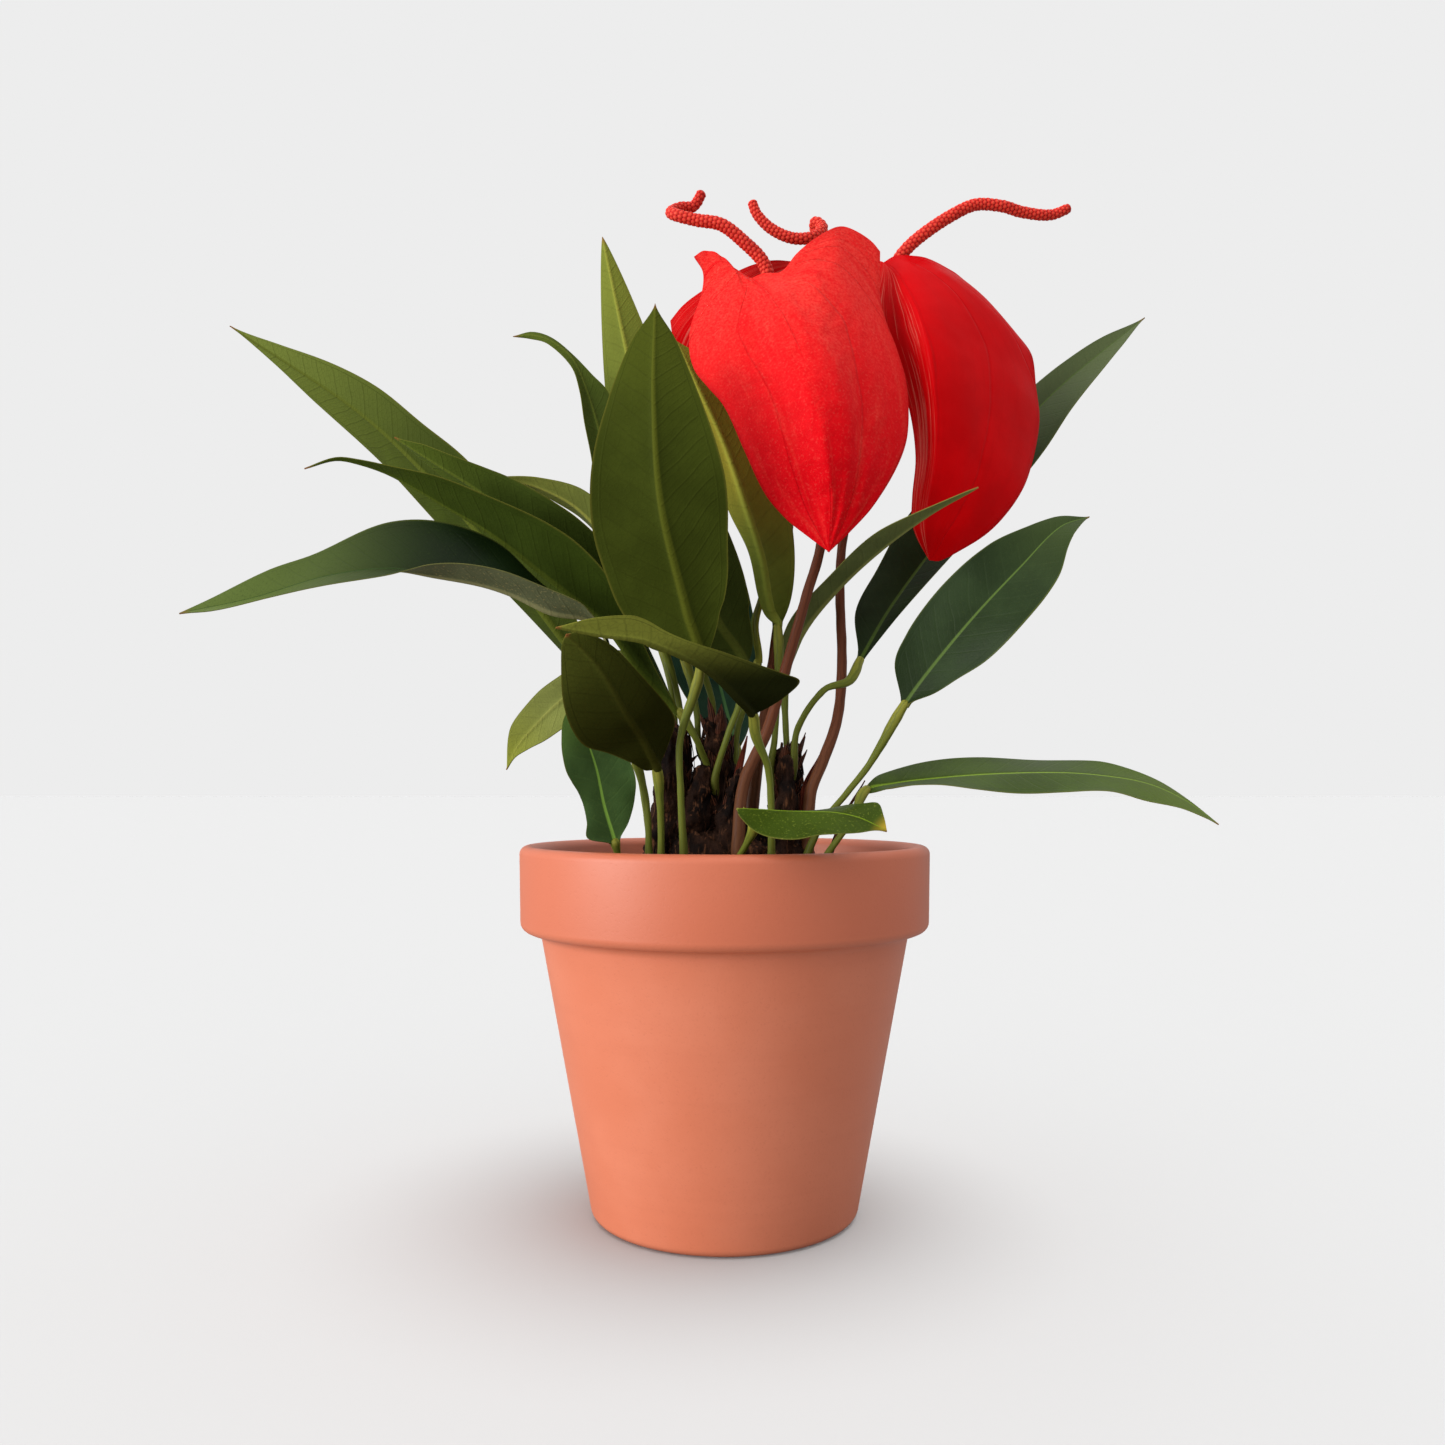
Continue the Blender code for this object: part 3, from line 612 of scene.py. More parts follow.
def makeFibres(material):
    # old roots: one strand, bent anew for each copy
    strandRadius = 0.02
    strand = layTube("strand", lambda d: Vector((0, 0, d)), 0, 1, lambda share: strandRadius, 4, 7)
    copies = []
    names = list(crown["columns"])
    for i in range(crown["fibres"]):
        copy = copyOf(strand)
        copies.append(copy)
        thick = scatter.uniform(0.16, 0.42)
        angle = scatter.uniform(0, fullTurn)
        if i % 5 < 3:
            column = crown["columns"][names[i % 3]]
            at, knots = smoothPath(column["points"])
            foot, top = column["radii"]
            high = scatter.uniform(12, knots[-1] + 2)
            long = scatter.uniform(7, 18)
            swing = scatter.uniform(-0.5, 0.5)
            lift = scatter.uniform(0.2, 1.4)
            loose = scatter.choice((0.0, 0.0, 0.4, 1.6))

            def course(share, column=column, at=at, high=high, long=long, swing=swing, lift=lift, loose=loose):
                height = max(2, high - long * share)
                middle = at(height)
                out = (foot + (top - foot) * height / knots[-1] + lift * math.sin(math.pi * share)
                       + loose * share * share)
                turn = angle + swing * share
                return Vector((middle.x + out * math.cos(turn), middle.y + out * math.sin(turn), height))
        else:
            spread = scatter.uniform(0.1, 0.62)
            reach = scatter.uniform(0.25, 0.5)
            swing = scatter.uniform(-0.4, 0.4)
            lift = scatter.uniform(0.3, 1.8)

            def course(share, spread=spread, reach=reach, swing=swing, lift=lift):
                out = spread + reach * share
                turn = angle + swing * share
                x = crown["mound"]["x"] + math.cos(turn) * out * crown["mound"]["radiusX"]
                y = crown["mound"]["y"] + math.sin(turn) * out * crown["mound"]["radiusY"]
                height = moundHeight(x, y) + lift * math.sin(math.pi * min(1, share * 1.1))
                return Vector((x, y, max(height, 0.3)))
        for vertex in copy.data.vertices:
            share = min(max(vertex.co.z / mm - soilTop, 0), 1)
            middle = course(share)
            ahead = (course(min(share + 0.05, 1)) - course(max(share - 0.05, 0))).normalized()
            side = ahead.orthogonal().normalized()
            up = side.cross(ahead)
            flat = Vector((vertex.co.x, vertex.co.y)) / mm / strandRadius
            vertex.co = place(middle + (side * flat.x + up * flat.y) * thick * (1.1 - 0.8 * share))
    bpy.data.objects.remove(strand)
    piece = joinAll("rootFibres", copies)
    finishPiece(piece, [], material)


def makeSkin(name, skin, locate, materials):
    # a thin sheet, thicker along its middle; locate(across, along) gives a point,
    # its reach from the middle and its length
    columns, rows = skin["grid"]
    piece = addGrid(name, columns, rows)
    for material in materials:
        piece.data.materials.append(material)
    values = {"across": [], "along": [], "acrossMm": [], "lengthMm": [], "fan": []}
    weights = []
    thickest = skin["thickness"] + skin["rib"]
    for vertex in piece.data.vertices:
        x, along = vertex.co.x, (vertex.co.y + 1) / 2
        across = math.copysign(abs(x) ** skin.get("crowd", 1.4), x)
        point, reach, length = locate(across, along)
        vertex.co = place(point)
        values["across"].append(across)
        values["along"].append(along)
        values["acrossMm"].append(math.copysign(reach, x))
        values["lengthMm"].append(length)
        values["fan"].append(across / min(1, (along / 0.3 + 0.02) ** 0.6))
        rib = skin["rib"] * math.exp(-(reach / (0.5 + 0.75 * (1 - along))) ** 2) * (1 - along) ** 0.7
        weights.append((skin["thickness"] * (1 - 0.45 * abs(across) ** 4) + rib) / thickest)
    for label, numbers in values.items():
        addValues(piece, label, numbers)
    body = piece.vertex_groups.new(name="body")
    for i, weight in enumerate(weights):
        body.add([i], weight, "REPLACE")
    solid = piece.modifiers.new("Body", "SOLIDIFY")
    solid.thickness = thickest * mm
    solid.offset = -1
    solid.vertex_group = "body"
    solid.material_offset = 1
    solid.material_offset_rim = 1
    applyAll(piece)
    piece.vertex_groups.clear()
    smooth(piece, 70)
    return piece


def waveOf(skin, side, share, along):
    # a slow waver that grows towards the margin and dies at the tip
    size, count, phase = skin.get("wave", (0.0, 5.0, 0.0))
    return size * share ** 3 * math.sin(count * along * math.pi + phase + 1.3 * side) * min(1, 3 * (1 - along))


def layBlade(name, at, start, end, blade, materials):
    # a sheet by its widths: so wide to each side of the path, and folded along it
    baseTop, tipTop = [Vector(v) for v in blade["top"]]
    soft = blade.get("soft", 0.02)

    def locate(across, along):
        distance = start + (end - start) * along
        ahead = heading(at, distance, start, end)
        side = ahead.cross(baseTop.lerp(tipTop, along)).normalized()
        up = side.cross(ahead)
        share = abs(across)
        half = blade["half"](across > 0, along)
        fold = math.radians(readTable(blade["fold"], along))
        eased = math.sqrt(share * share + soft * soft) - soft
        rise = eased * half * math.sin(fold) + blade.get("curl", 0) * half * share * share
        rise += waveOf(blade, across > 0, share, along)
        rise += blade["relief"](across, along, half) if "relief" in blade else 0
        return at(distance) + side * across * half * math.cos(fold) + up * rise, share * half, distance - start

    return makeSkin(name, blade, locate, materials)


def layDrawn(name, at, start, end, sheet, materials):
    # a sheet by its outline: an edge on each side of the middle path and,
    # for a lobed one, the line over each lobe
    edges = [smoothPath(edge) for edge in sheet["edges"]]
    tops = [smoothPath(top) for top in sheet.get("tops", [])]
    crown = sheet.get("crown", 1.0)

    def web(across, along):
        distance = start + (end - start) * along
        middle = at(distance)
        ahead = heading(at, distance, start, end)
        ends = [path(knots[-1] * along) for path, knots in edges]
        up = (ends[0] - ends[1]).cross(ahead).normalized()
        out = ends[0 if across > 0 else 1] - middle
        off = up * out.dot(up)
        share = abs(across)
        return middle + (out - off) * share + off * share ** crown, up, out.length * share, distance - start

    def locate(across, along):
        point, up, reach, length = web(across, along)
        share = abs(across)
        if tops:
            path, knots = tops[0 if across > 0 else 1]
            point = point + (path(knots[-1] * share) - web(across, 0)[0]) * (1 - along) ** sheet["topFade"]
        rise = waveOf(sheet, across > 0, share, along)
        rise += sheet["relief"](across, along, reach) if "relief" in sheet else 0
        return point + up * rise, reach, length

    return makeSkin(name, sheet, locate, materials)


def papery(name, look):
    material, tree = newMaterial(name)
    marks = useMottle(tree, 260.0, 1800.0)
    stripes = plus(tree, times(tree, readValue(tree, "acrossMm"), 1.6), marks["Patches"])
    stripes = calc(tree, "PINGPONG", stripes, 0.5)
    colour = blend(tree, ramp(tree, marks["Patches"], 0.35, 0.65), look["dark"], look["mid"])
    colour = lay(tree, colour, look["light"], ramp(tree, stripes, 0.25, 0.5), 0.5)
    rough = ramp(tree, marks["Patches"], 0.3, 0.7, 0.45, 0.7)
    dress(tree, colour, rough, stripes, 0.5, 0.3, 0.12)
    return material


def makeCataphylls():
    # dry pointed scales that wrap the crown
    look = {"dark": tint(30, 15, 11), "mid": tint(78, 40, 27), "light": tint(146, 92, 64)}
    redLook = {"dark": tint(84, 32, 20), "mid": tint(122, 52, 34), "light": tint(158, 84, 58)}
    brown = papery("sheathPaper", look)
    red = papery("sheathRedPaper", redLook)
    sheaths = {
        "red": {"root": ("middle", 18, -35), "points": [(5, -8, 31), (7, -9, 42)], "half": 2.3,
                "node": "sheath_red", "hue": red},
        "hooked": {"root": ("right", 14, -30), "points": [(26, -5, 26), (30, -6, 36)], "half": 2.4,
                   "node": "sheath_hooked", "hue": red},
        "outer": {"root": ("soil", 33, -8), "points": [(38, -8, 17), (44, -9, 28)], "half": 1.6,
                  "node": "sheath_outer", "hue": brown},
        "dark": {"root": ("middle", 12, -60), "points": [(2, -11, 22), (6, -13, 30), (10, -13, 37)],
                 "half": 2.6, "node": None, "hue": brown},
        "low": {"root": ("soil", 26, -10), "points": [(30, -10, 15), (34, -11, 20)], "half": 1.8, "node": None,
                "hue": brown},
    }
    for name, sheath in sheaths.items():
        points = rootPoints(sheath["root"], 1.2) + sheath["points"]
        at, knots = smoothPath(points)
        table = [0.8, 1.0, 1.0, 0.85, 0.5, 0.06]
        away = Vector(points[-1]) - Vector((points[0][0] * 0.6, points[0][1] * 0.6, points[0][2]))
        inward = Vector((-away.x, -away.y, 0.2)).normalized()
        blade = {
            "grid": (10, 26), "thickness": 0.35, "rib": 0.3, "top": (inward, inward), "fold": [58, 52, 40, 20],
            "half": lambda positive, along, half=sheath["half"]: half * readTable(table, along), "soft": 0.3,
        }
        piece = layBlade(f"sheath.{name}", at, 0, knots[-1], blade, [sheath["hue"], sheath["hue"]])
        finishPiece(piece, [sheath["node"]] if sheath["node"] else [])
    scales = []
    for i in range(crown["scales"]):
        names = list(crown["columns"])
        name = names[i % 3]
        top = crown["columns"][name]["points"][-1][2]
        height = scatter.uniform(9, top - 3)
        angle = scatter.uniform(0, 360)
        long = scatter.uniform(4, 12)
        lean = scatter.uniform(0.1, 2.8)
        points = [besideColumn(name, height, angle, -0.9),
                  besideColumn(name, height + long * 0.5, angle, 0.3 + lean * 0.3),
                  besideColumn(name, height + long, angle + scatter.uniform(-8, 8), 0.4 + lean)]
        at, knots = smoothPath(points)
        middle = Vector(besideColumn(name, height, angle, -6))
        inward = (middle - Vector(points[0])).normalized()
        half = scatter.uniform(1.0, 2.8)
        blade = {
            "grid": (6, 8), "thickness": 0.25, "rib": 0.1, "top": (inward, inward), "fold": [40, 30, 14],
            "half": lambda positive, along, half=half: half * readTable([1.0, 0.95, 0.7, 0.05], along),
            "soft": 0.3,
        }
        scales.append(layBlade(f"scale{i}", at, 0, knots[-1], blade, [brown, brown]))
    piece = joinAll("crownScales", scales)
    finishPiece(piece, [])


makeCrown()


def leafMaterial(name, hue, tipHue, fade, look):
    # one side of a leaf: hue is its green, tipHue the lighter green laid towards the tip as painted light, look
    # the way that side is finished
    material, tree = newMaterial(name)
    marks = useMottle(tree, 70.0, 1500.0)
    lines = useGroup(tree, veins, {"Spacing": look["spacing"], "Rib Width": look["ribWidth"]})
    along = readValue(tree, "along")

    def graded(gains):
        return tuple(min(1, channel * gain) for channel, gain in zip(hue, gains)) + (1,)

    deep = graded([look["deepen"]] * 3)
    colour = blend(tree, ramp(tree, marks["Patches"], 0.36, 0.66), deep, hue)
    # painted light and shade: darker at the base inside the plant, lighter towards the tip
    colour = lay(tree, colour, tipHue, ramp(tree, along, *fade), look["tipLightShow"])
    colour = lay(tree, colour, deep, lines["Net"], look["net"])
    colour = lay(tree, colour, graded(look["veinHue"]), lines["Laterals"], look["laterals"])
    colour = lay(tree, colour, deep, lines["Margin Vein"], look["margin"])
    colour = lay(tree, colour, graded(look["paleGain"]), marks["Pits"], look["specks"])
    colour = lay(tree, colour, look["edgeHue"], lines["Edge"], 0.45)
    colour = lay(tree, colour, graded(look["ribHue"]), lines["Midrib"], look["ribShow"])
    colour = lay(tree, colour, look["tipHue"], ramp(tree, along, 0.975, 1.0), 0.7)
    rough = ramp(tree, marks["Patches"], 0.3, 0.7, *look["rough"])
    height = times(tree, marks["Speckle"], 0.25)
    for label, share in (("Laterals", 1.0), ("Net", 0.35), ("Margin Vein", 0.7)):
        height = plus(tree, height, times(tree, lines[label], look["raise"] * share))
    dress(tree, colour, rough, height, look["bump"], 0.4, look["gloss"])
    return material


leafSides = {
    "top": {
        "spacing": 7.0, "ribWidth": 0.62, "deepen": 0.72, "paleGain": (2.1, 1.7, 1.25),
        # the tip gain and its show lighten the blade towards the tip as painted light
        "tipLightGain": (1.8, 1.6, 1.2), "tipLightShow": 0.85,
        "net": 0.05, "laterals": 0.10, "margin": 0.10, "specks": 0.16, "ribShow": 0.9, "raise": -0.4,
        "bump": 0.25,
        "veinHue": (1.7, 1.5, 1.3), "ribHue": (3.6, 3.4, 1.9), "edgeHue": tint(110, 118, 50),
        "tipHue": tint(140, 104, 50),
        "rough": (0.34, 0.46), "gloss": 0.07,
    },
    "under": {
        "spacing": 7.0, "ribWidth": 1.5, "deepen": 0.78, "paleGain": (1.5, 1.4, 1.2),
        "tipLightGain": (1.5, 1.4, 1.2), "tipLightShow": 0.85,
        "net": 0.14, "laterals": 0.17, "margin": 0.5, "specks": 0.10, "ribShow": 0.8, "raise": 0.6,
        "bump": 0.35,
        "veinHue": (0.62, 0.55, 0.6), "ribHue": (2.0, 1.72, 1.6), "edgeHue": tint(118, 112, 44),
        "tipHue": tint(150, 84, 52),
        "rough": (0.46, 0.58), "gloss": 0.015,
    },
}

# Each leaf: where its stalk starts, the stalk, the midrib from joint to tip, the widths to its two sides or one
# half width, the way its top faces at joint and tip, its fold, and the greens of its top and underside.
leaves = {
    "upper_left": {
        "root": ("soil", -24, 6), "stalk": [(-29, 8, 34), (-37, 10, 52)],
        "midrib": [(-54, 14, 75), (-76, 18, 103), (-105, 24, 136), (-130, 28, 159), (-177, 34, 191)],
        "widths": ([0.8, 5, 9, 12, 15, 17, 17, 15.5, 10.9, 4.2, 0],
                   [0.8, 6, 10, 13, 15, 15.2, 12.6, 11.2, 8.3, 4.0, 0]),
        "top": ((0.3, 0.75, 0.55), (0.3, 0.75, 0.55)), "fold": (25, 20), "hues": ((60, 78, 34), (66, 78, 26)),
        "tipHue": (122, 134, 58), "fade": (0.45, 1.0),
    },
    "dark_left": {
        "root": ("middle", 30, -130), "stalk": [(-9, -14, 41), (-14, -15, 49)],
        "midrib": [(-26.2, -17, 62.6), (-36.9, -19, 76.7), (-48.2, -21, 85.7), (-56.7, -22, 92.3),
                    (-64.9, -23, 98.9), (-74.8, -24, 105.8), (-84.5, -26, 111.2), (-93.2, -28, 116.2),
                    (-101.5, -29, 120.6), (-109.7, -31, 123.1), (-116.9, -32, 124), (-125.8, -33, 121)],
        "edges": ([(-22.1, -8, 66.1), (-30.9, -6, 81.7), (-38.6, -6, 92), (-47.5, -7, 100.9),
                   (-56.2, -9, 106.9),
                    (-66.3, -12, 111.4), (-76.8, -15, 116.1), (-88.2, -20, 119.6), (-100.8, -25, 122.6),
                    (-111.9, -29, 124.3), (-117.3, -31, 124.3)],
                  [(-21.2, -24, 62.8), (-29, -30, 79.3), (-36, -32, 89.8), (-44.2, -34, 98.5),
                   (-52.4, -35, 104.2),
                    (-60.8, -35, 108.4), (-72.1, -35, 112.9), (-85.5, -35, 117.8), (-99.5, -34, 121.4),
                    (-109, -33.5, 123.6), (-116.6, -33, 124.4)]),
        "hues": ((44, 62, 26), (62, 77, 24)),
    },
    "middle_left": {
        "root": ("left", 32, 60), "stalk": [(-15, 4, 54), (-18, 1, 66), (-23, -4, 77)],
        "midrib": [(-42, -8, 92), (-61, -12, 107), (-77, -14, 119), (-90, -16, 127), (-103, -18, 135)],
        "widths": ([0.8, 6, 9.5, 11.5, 12, 12, 11, 9, 6.5, 3.6, 0],
                   [0.8, 6, 11, 14, 15.1, 13.5, 10.9, 8.2, 6.2, 3.9, 0]),
        "top": ((0.4, 0.55, 0.7), (0.4, 0.55, 0.7)), "fold": (22, 20), "hues": ((60, 80, 34), (76, 92, 34)),
    },
    "arching_left": {
        "root": ("soil", -23, -19), "stalk": [(-24, -21, 22), (-28, -23, 38)],
        "midrib": [(-34.6, -30, 69.7), (-39.9, -34, 75.7), (-50.6, -38, 77.2), (-61.5, -41, 82),
                    (-70.2, -43, 84.6), (-82.5, -46, 86.4), (-95.7, -48, 88), (-113, -50, 85.4),
                    (-133, -52, 78.8),
                    (-152.5, -54, 74.2)],
        "edges": ([(-38.2, -22, 75.3), (-44.3, -22, 79.3), (-54.8, -24, 86.7), (-58.2, -26, 89.7),
                    (-67.6, -28, 99.1), (-78.8, -31, 104.2), (-90.4, -34, 105.4), (-101.4, -38, 102.7),
                    (-118, -44, 92.9), (-130.2, -48, 87.5), (-145.6, -52, 78.2)],
                  [(-35.5, -36, 71.9), (-39.6, -42, 77.2), (-41.7, -44, 78.9), (-52.1, -48, 82.6),
                    (-63, -52, 86.4), (-73.6, -54, 88.3), (-82.3, -55, 88.1), (-89.1, -55.5, 86.3),
                    (-94.3, -56, 84.8), (-111.7, -57, 81.3), (-125.7, -57, 78.2), (-142.1, -55.5, 74.8)]),
        "hues": ((20, 36, 13), (116, 121, 86)),
        # painted highlight: the tip green lightens the outer half of the dark top
        "look": {"specks": 0.3, "paleGain": (4.0, 2.8, 2.2)}, "tipHue": (100, 118, 54), "fade": (0.5, 0.95),
    },
    "folded_front": {
        "root": ("soil", 14, -28), "stalk": [(13, -33, 30), (9, -38, 41), (8, -42, 47)],
        "midrib": [(3.7, -50, 50.7), (-2.5, -57, 56.3), (-7.6, -63, 59.2), (-14.9, -70, 61.9),
                   (-22.2, -76, 63.8),
                    (-32, -82, 64.4), (-42.4, -88, 65.6)],
        "edges": ([(5.9, -38, 51.1), (-0.8, -40, 59.1), (-7.1, -46, 62.5), (-14.8, -54, 65.2),
                   (-21.8, -62, 67.8),
                    (-33, -72, 67.8)],
                  [(11.2, -43, 47.8), (17.2, -45, 51.7), (21.3, -48, 56), (16.8, -52, 57.6), (5.5, -58, 60.3),
                    (-1.6, -63, 62.5), (-15.1, -72, 66.7), (-20.6, -77, 68.9), (-24.2, -80, 69.5),
                    (-33.5, -85, 68.3)]),
        "hues": ((56, 72, 34), (38, 42, 16)),
        "tipHue": (150, 154, 62), "fade": (0.2, 0.75), "look": {"ribShow": 0.34},
    },
    "upright_front": {
        "root": ("soil", -12, -29), "stalk": [(-13, -33, 25), (-13, -35, 40), (-7, -41, 61)],
        "midrib": [(-11, -46, 76), (-18, -54, 105), (-20, -56, 134), (-20, -50, 164)],
        "widths": ([2.5, 14.1, 18.5, 19.9, 20.6, 19.6, 17.4, 14.2, 10.5, 6.2, 0],
                   [0.8, 8.0, 13.6, 16.6, 18.8, 19.2, 17.3, 14.1, 10.5, 6.1, 0]),
        "top": ((0.0, 1.0, 0.0), (0.0, 1.0, 0.0)), "fold": (8, 12), "hues": ((48, 66, 32), (65, 74, 22)),
    },
    "shaded_front": {
        "root": ("soil", -19, -27), "stalk": [(-19, -29, 16), (-20, -33, 31)],
        "midrib": [(-22.1, -37, 35.9), (-24.5, -41, 40.7), (-27.8, -50, 46.2), (-30.8, -58, 52.3),
                   (-34.2, -65, 58.2), (-38, -70, 62.5), (-41.7, -74, 65.7)],
        "edges": ([(-23.5, -33, 30.8), (-27.6, -38, 33), (-33, -42, 35.2), (-39.5, -48, 37.3),
                   (-42.9, -55, 42.6),
                  (-44, -62, 49.5), (-43.8, -68, 58.7), (-43, -72, 63.6)],
                  [(-18.2, -33, 34.6), (-16.4, -34, 39.6), (-14.8, -37, 44.4), (-15.3, -40, 47.4),
                  (-20.3, -50, 53.5), (-25.3, -58, 58.9), (-29.7, -65, 63.1), (-34.5, -70, 65.7),
                  (-38.5, -72.5, 66.5)]),
        "hues": ((52, 68, 34), (54, 56, 18)),
        "tipHue": (92, 98, 36), "fade": (0.3, 1.0), "look": {"ribShow": 0.30},
    },
    "rim_left": {
        "root": ("soil", -32, -22), "stalk": [(-33, -24, 9)],
        "midrib": [(-36, -27, 20), (-38, -31, 31), (-41, -35, 41), (-45, -37, 51)],
        "widths": ([0.8, 5.7, 8.8, 10.1, 10.7, 10.3, 8.6, 6.6, 5.5, 3.5, 0],
                   [0.8, 8.0, 6.7, 6.3, 7.2, 8.7, 9.6, 9.0, 7.4, 4.9, 0]),
        "top": ((0.2, -0.95, 0.3), (0.2, -0.95, 0.3)), "fold": (12, 15), "hues": ((84, 116, 62), (90, 104, 50)),
    },
    "drooping_left": {
        "root": ("left", 34, -130), "stalk": [(-20, -8, 46), (-19, -6, 54)],
        "midrib": [(-23.8, -5, 60.6), (-33.4, -5, 62.6), (-42.9, -6, 58.6), (-51.5, -8, 52.7),
                   (-59.2, -9, 45.1),
                    (-64.8, -11, 38.1), (-68, -12, 31.1)],
        "edges": ([(-22.1, -8, 57.5), (-29.8, -10, 55.7), (-39.1, -12, 51.8), (-50, -14, 44.5),
                   (-55.9, -14, 40.1),
                    (-61.3, -13, 37.4), (-65.4, -12.5, 34.9)],
                  [(-24, -2, 64.5), (-33.9, 0, 70.2), (-43.6, 0, 68.3), (-52.7, -2, 61.6), (-59.1, -4, 56.9),
                    (-63.5, -6, 51.6), (-67.3, -8, 45.4), (-68.1, -10, 40.6)]),
        "hues": ((80, 96, 48), (142, 148, 78)),
        "tipHue": (136, 140, 46), "fade": (0.6, 1.0), "look": {"ribShow": 0.21},
    },
    "back_centre": {
        "root": ("soil", 6, 15), "stalk": [(5, 17, 28), (4, 19, 40)],
        "midrib": [(1, 22, 51), (-2, 25, 63), (-8, 31, 91), (-12, 36, 121), (-15, 42, 148)],
        "half": 17, "top": ((0.0, -0.95, 0.2), (0.0, -0.9, 0.4)), "fold": (12, 15),
        "hues": ((52, 82, 64), (86, 98, 50)),
    },
    "behind_front": {
        "root": ("middle", 24, -100), "stalk": [(1, -14, 42), (5, -14, 53), (6, -11, 65)],
        "midrib": [(-2, -17, 77), (-8, -23, 91), (-11, -27, 107), (-12, -29, 128)],
        "half": 14, "top": ((-0.2, 0.95, 0.2), (0.0, 0.95, 0.0)), "fold": (12, 15),
        "hues": ((44, 60, 30), (60, 70, 26)),
    },
    "olive_centre": {
        "root": ("right", 26, 200), "stalk": [(16, -4, 41), (17, -5, 57), (17, -6, 77)],
        "midrib": [(14.5, -7, 82.2), (11.9, -8, 98.1), (6.5, -9, 115.6), (-0.8, -10, 136.4), (-8.8, -12, 153.5),
                    (-15.5, -12, 167.8)],
        "edges": ([(12.5, -8, 80.5), (10.3, -8, 86.9), (7.5, -8, 101.3), (1.1, -8, 114.3), (-6.3, -9, 133.4),
                    (-11.1, -10, 149.4)],
                  [(15.5, -4, 73), (20.2, -2, 83), (22.2, 0, 92.5), (22.7, 1, 104.8), (21.1, 1, 118),
                   (16.5, 0, 134.4), (8.9, -2, 149.4), (-2.8, -7, 161.5)]),
        "hues": ((60, 66, 32), (126, 140, 56)),
        "tipHue": (160, 146, 50), "fade": (0.2, 0.6), "look": {"ribShow": 0.34},
    },
    "tall_left": {
        "root": ("middle", 38, 100), "stalk": [(-4, 3, 54), (-9, 4, 69)],
        "midrib": [(-14, 8, 91), (-23, 12, 129), (-32, 15, 168), (-42, 16, 215)],
        "half": 13, "top": ((0.0, 1.0, 0.1), (0.1, 1.0, 0.1)), "fold": (12, 18),
        "hues": ((74, 84, 42), (112, 122, 50)),
    },
    "curled_left": {
        "root": ("middle", 34, 170), "stalk": [(-9, -2, 50), (-13, -1, 67)],
        "midrib": [(-28.8, 0, 93.1), (-37.6, 2, 126.6), (-41.9, 4, 143.9), (-46.2, 6, 157.4), (-51.2, 8, 169),
                    (-58.2, 10, 175.6), (-65.3, 12, 178.8), (-71.9, 13, 178.8)],
        "edges": ([(-39.3, 0, 99.7), (-43.4, 0, 131.7), (-46.2, 1, 145.3), (-48.1, 3, 157), (-51.2, 6, 166.2),
                    (-59.4, 9, 174.8), (-66, 12, 177.7)],
                  [(-26, 2, 100.1), (-33.9, 4, 140.5), (-38.5, 6, 156.7), (-44.3, 7, 163.5), (-50.6, 9, 170.7),
                    (-58.4, 11, 177.7), (-65.4, 12.5, 180.3)]),
        "hues": ((56, 76, 38), (70, 84, 32)),
    },
    "sliver_left": {
        "root": ("left", 26, 95), "stalk": [(-17, 11, 54), (-23, 18, 79)],
        "midrib": [(-34, 22, 103), (-50, 24, 122), (-64, 25, 130), (-78, 26, 134)],
        "half": 9, "top": ((0.5, 0.5, 0.7), (0.5, 0.4, 0.75)), "fold": (15, 20),
        "hues": ((66, 84, 38), (122, 130, 62)),
    },
    "thin_right": {
        "root": ("right", 24, 80), "stalk": [(20, 6, 48), (20, 5, 63)],
        "midrib": [(25, -2, 76), (35, -12, 88), (47, -25, 98), (60, -38, 106), (72, -50, 111)],
        "half": 10, "top": ((-0.55, 0.15, 0.8), (-0.5, 0.1, 0.85)), "fold": (18, 20),
        "hues": ((80, 96, 56), (112, 122, 70)),
    },
    "far_right": {
        "root": ("right", 28, -70), "stalk": [(23, -9, 44), (31, -14, 56), (39, -12, 59), (43, -7, 66)],
        "midrib": [(54, 4, 84), (68, 13, 103), (90, 24, 131), (114, 34, 163), (155, 46, 199)],
        "widths": ([0.8, 3.5, 6.2, 8.5, 9.9, 11.7, 13.1, 11.9, 9.0, 4.5, 0],
                   [0.8, 9.7, 12.0, 14.3, 14.0, 11.9, 9.5, 7.9, 6.4, 4.4, 0]),
        "top": ((-0.2, -0.85, 0.5), (-0.2, -0.85, 0.5)), "fold": (12, 18),
        # painted shadow: the dark top green stands for the spathe's shadow on the blade's base, lightening to
        # the tip green where the blade is lit
        "hues": ((38, 52, 26), (104, 112, 58)),
        "tipHue": (92, 104, 64), "fade": (0.4, 0.95),
    },
    "broad_right": {
        "root": ("soil", 25, -13), "stalk": [(30, -13, 14), (38, -14, 24), (45, -15, 33), (55, -21, 51)],
        "midrib": [(62, -24, 61), (75, -28, 77), (89, -30, 92), (101, -29, 104), (111, -26, 108)],
        "widths": ([0.8, 6.4, 9.6, 12.8, 14.4, 14.9, 14.3, 12.1, 8.0, 4.4, 0],
                   [1.5, 9.8, 12.5, 14.0, 14.5, 13.9, 12.5, 10.5, 6.8, 3.2, 0]),
        "top": ((-0.3, -0.9, 0.3), (-0.3, -0.9, 0.4)), "fold": (12, 15), "hues": ((48, 64, 36), (98, 106, 54)),
    },
    "low_right": {
        "root": ("soil", 30, -20), "stalk": [(36, -20, 12), (40, -17, 18), (44, -14, 25)],
        "midrib": [(53.1, -12, 27.1), (62.2, -12, 28.3), (80.8, -14, 29.9), (101.7, -17, 30.4),
                   (115, -19, 29.5),
                    (128.6, -21, 27), (138.9, -24, 21.9), (147.8, -27, 14.7)],
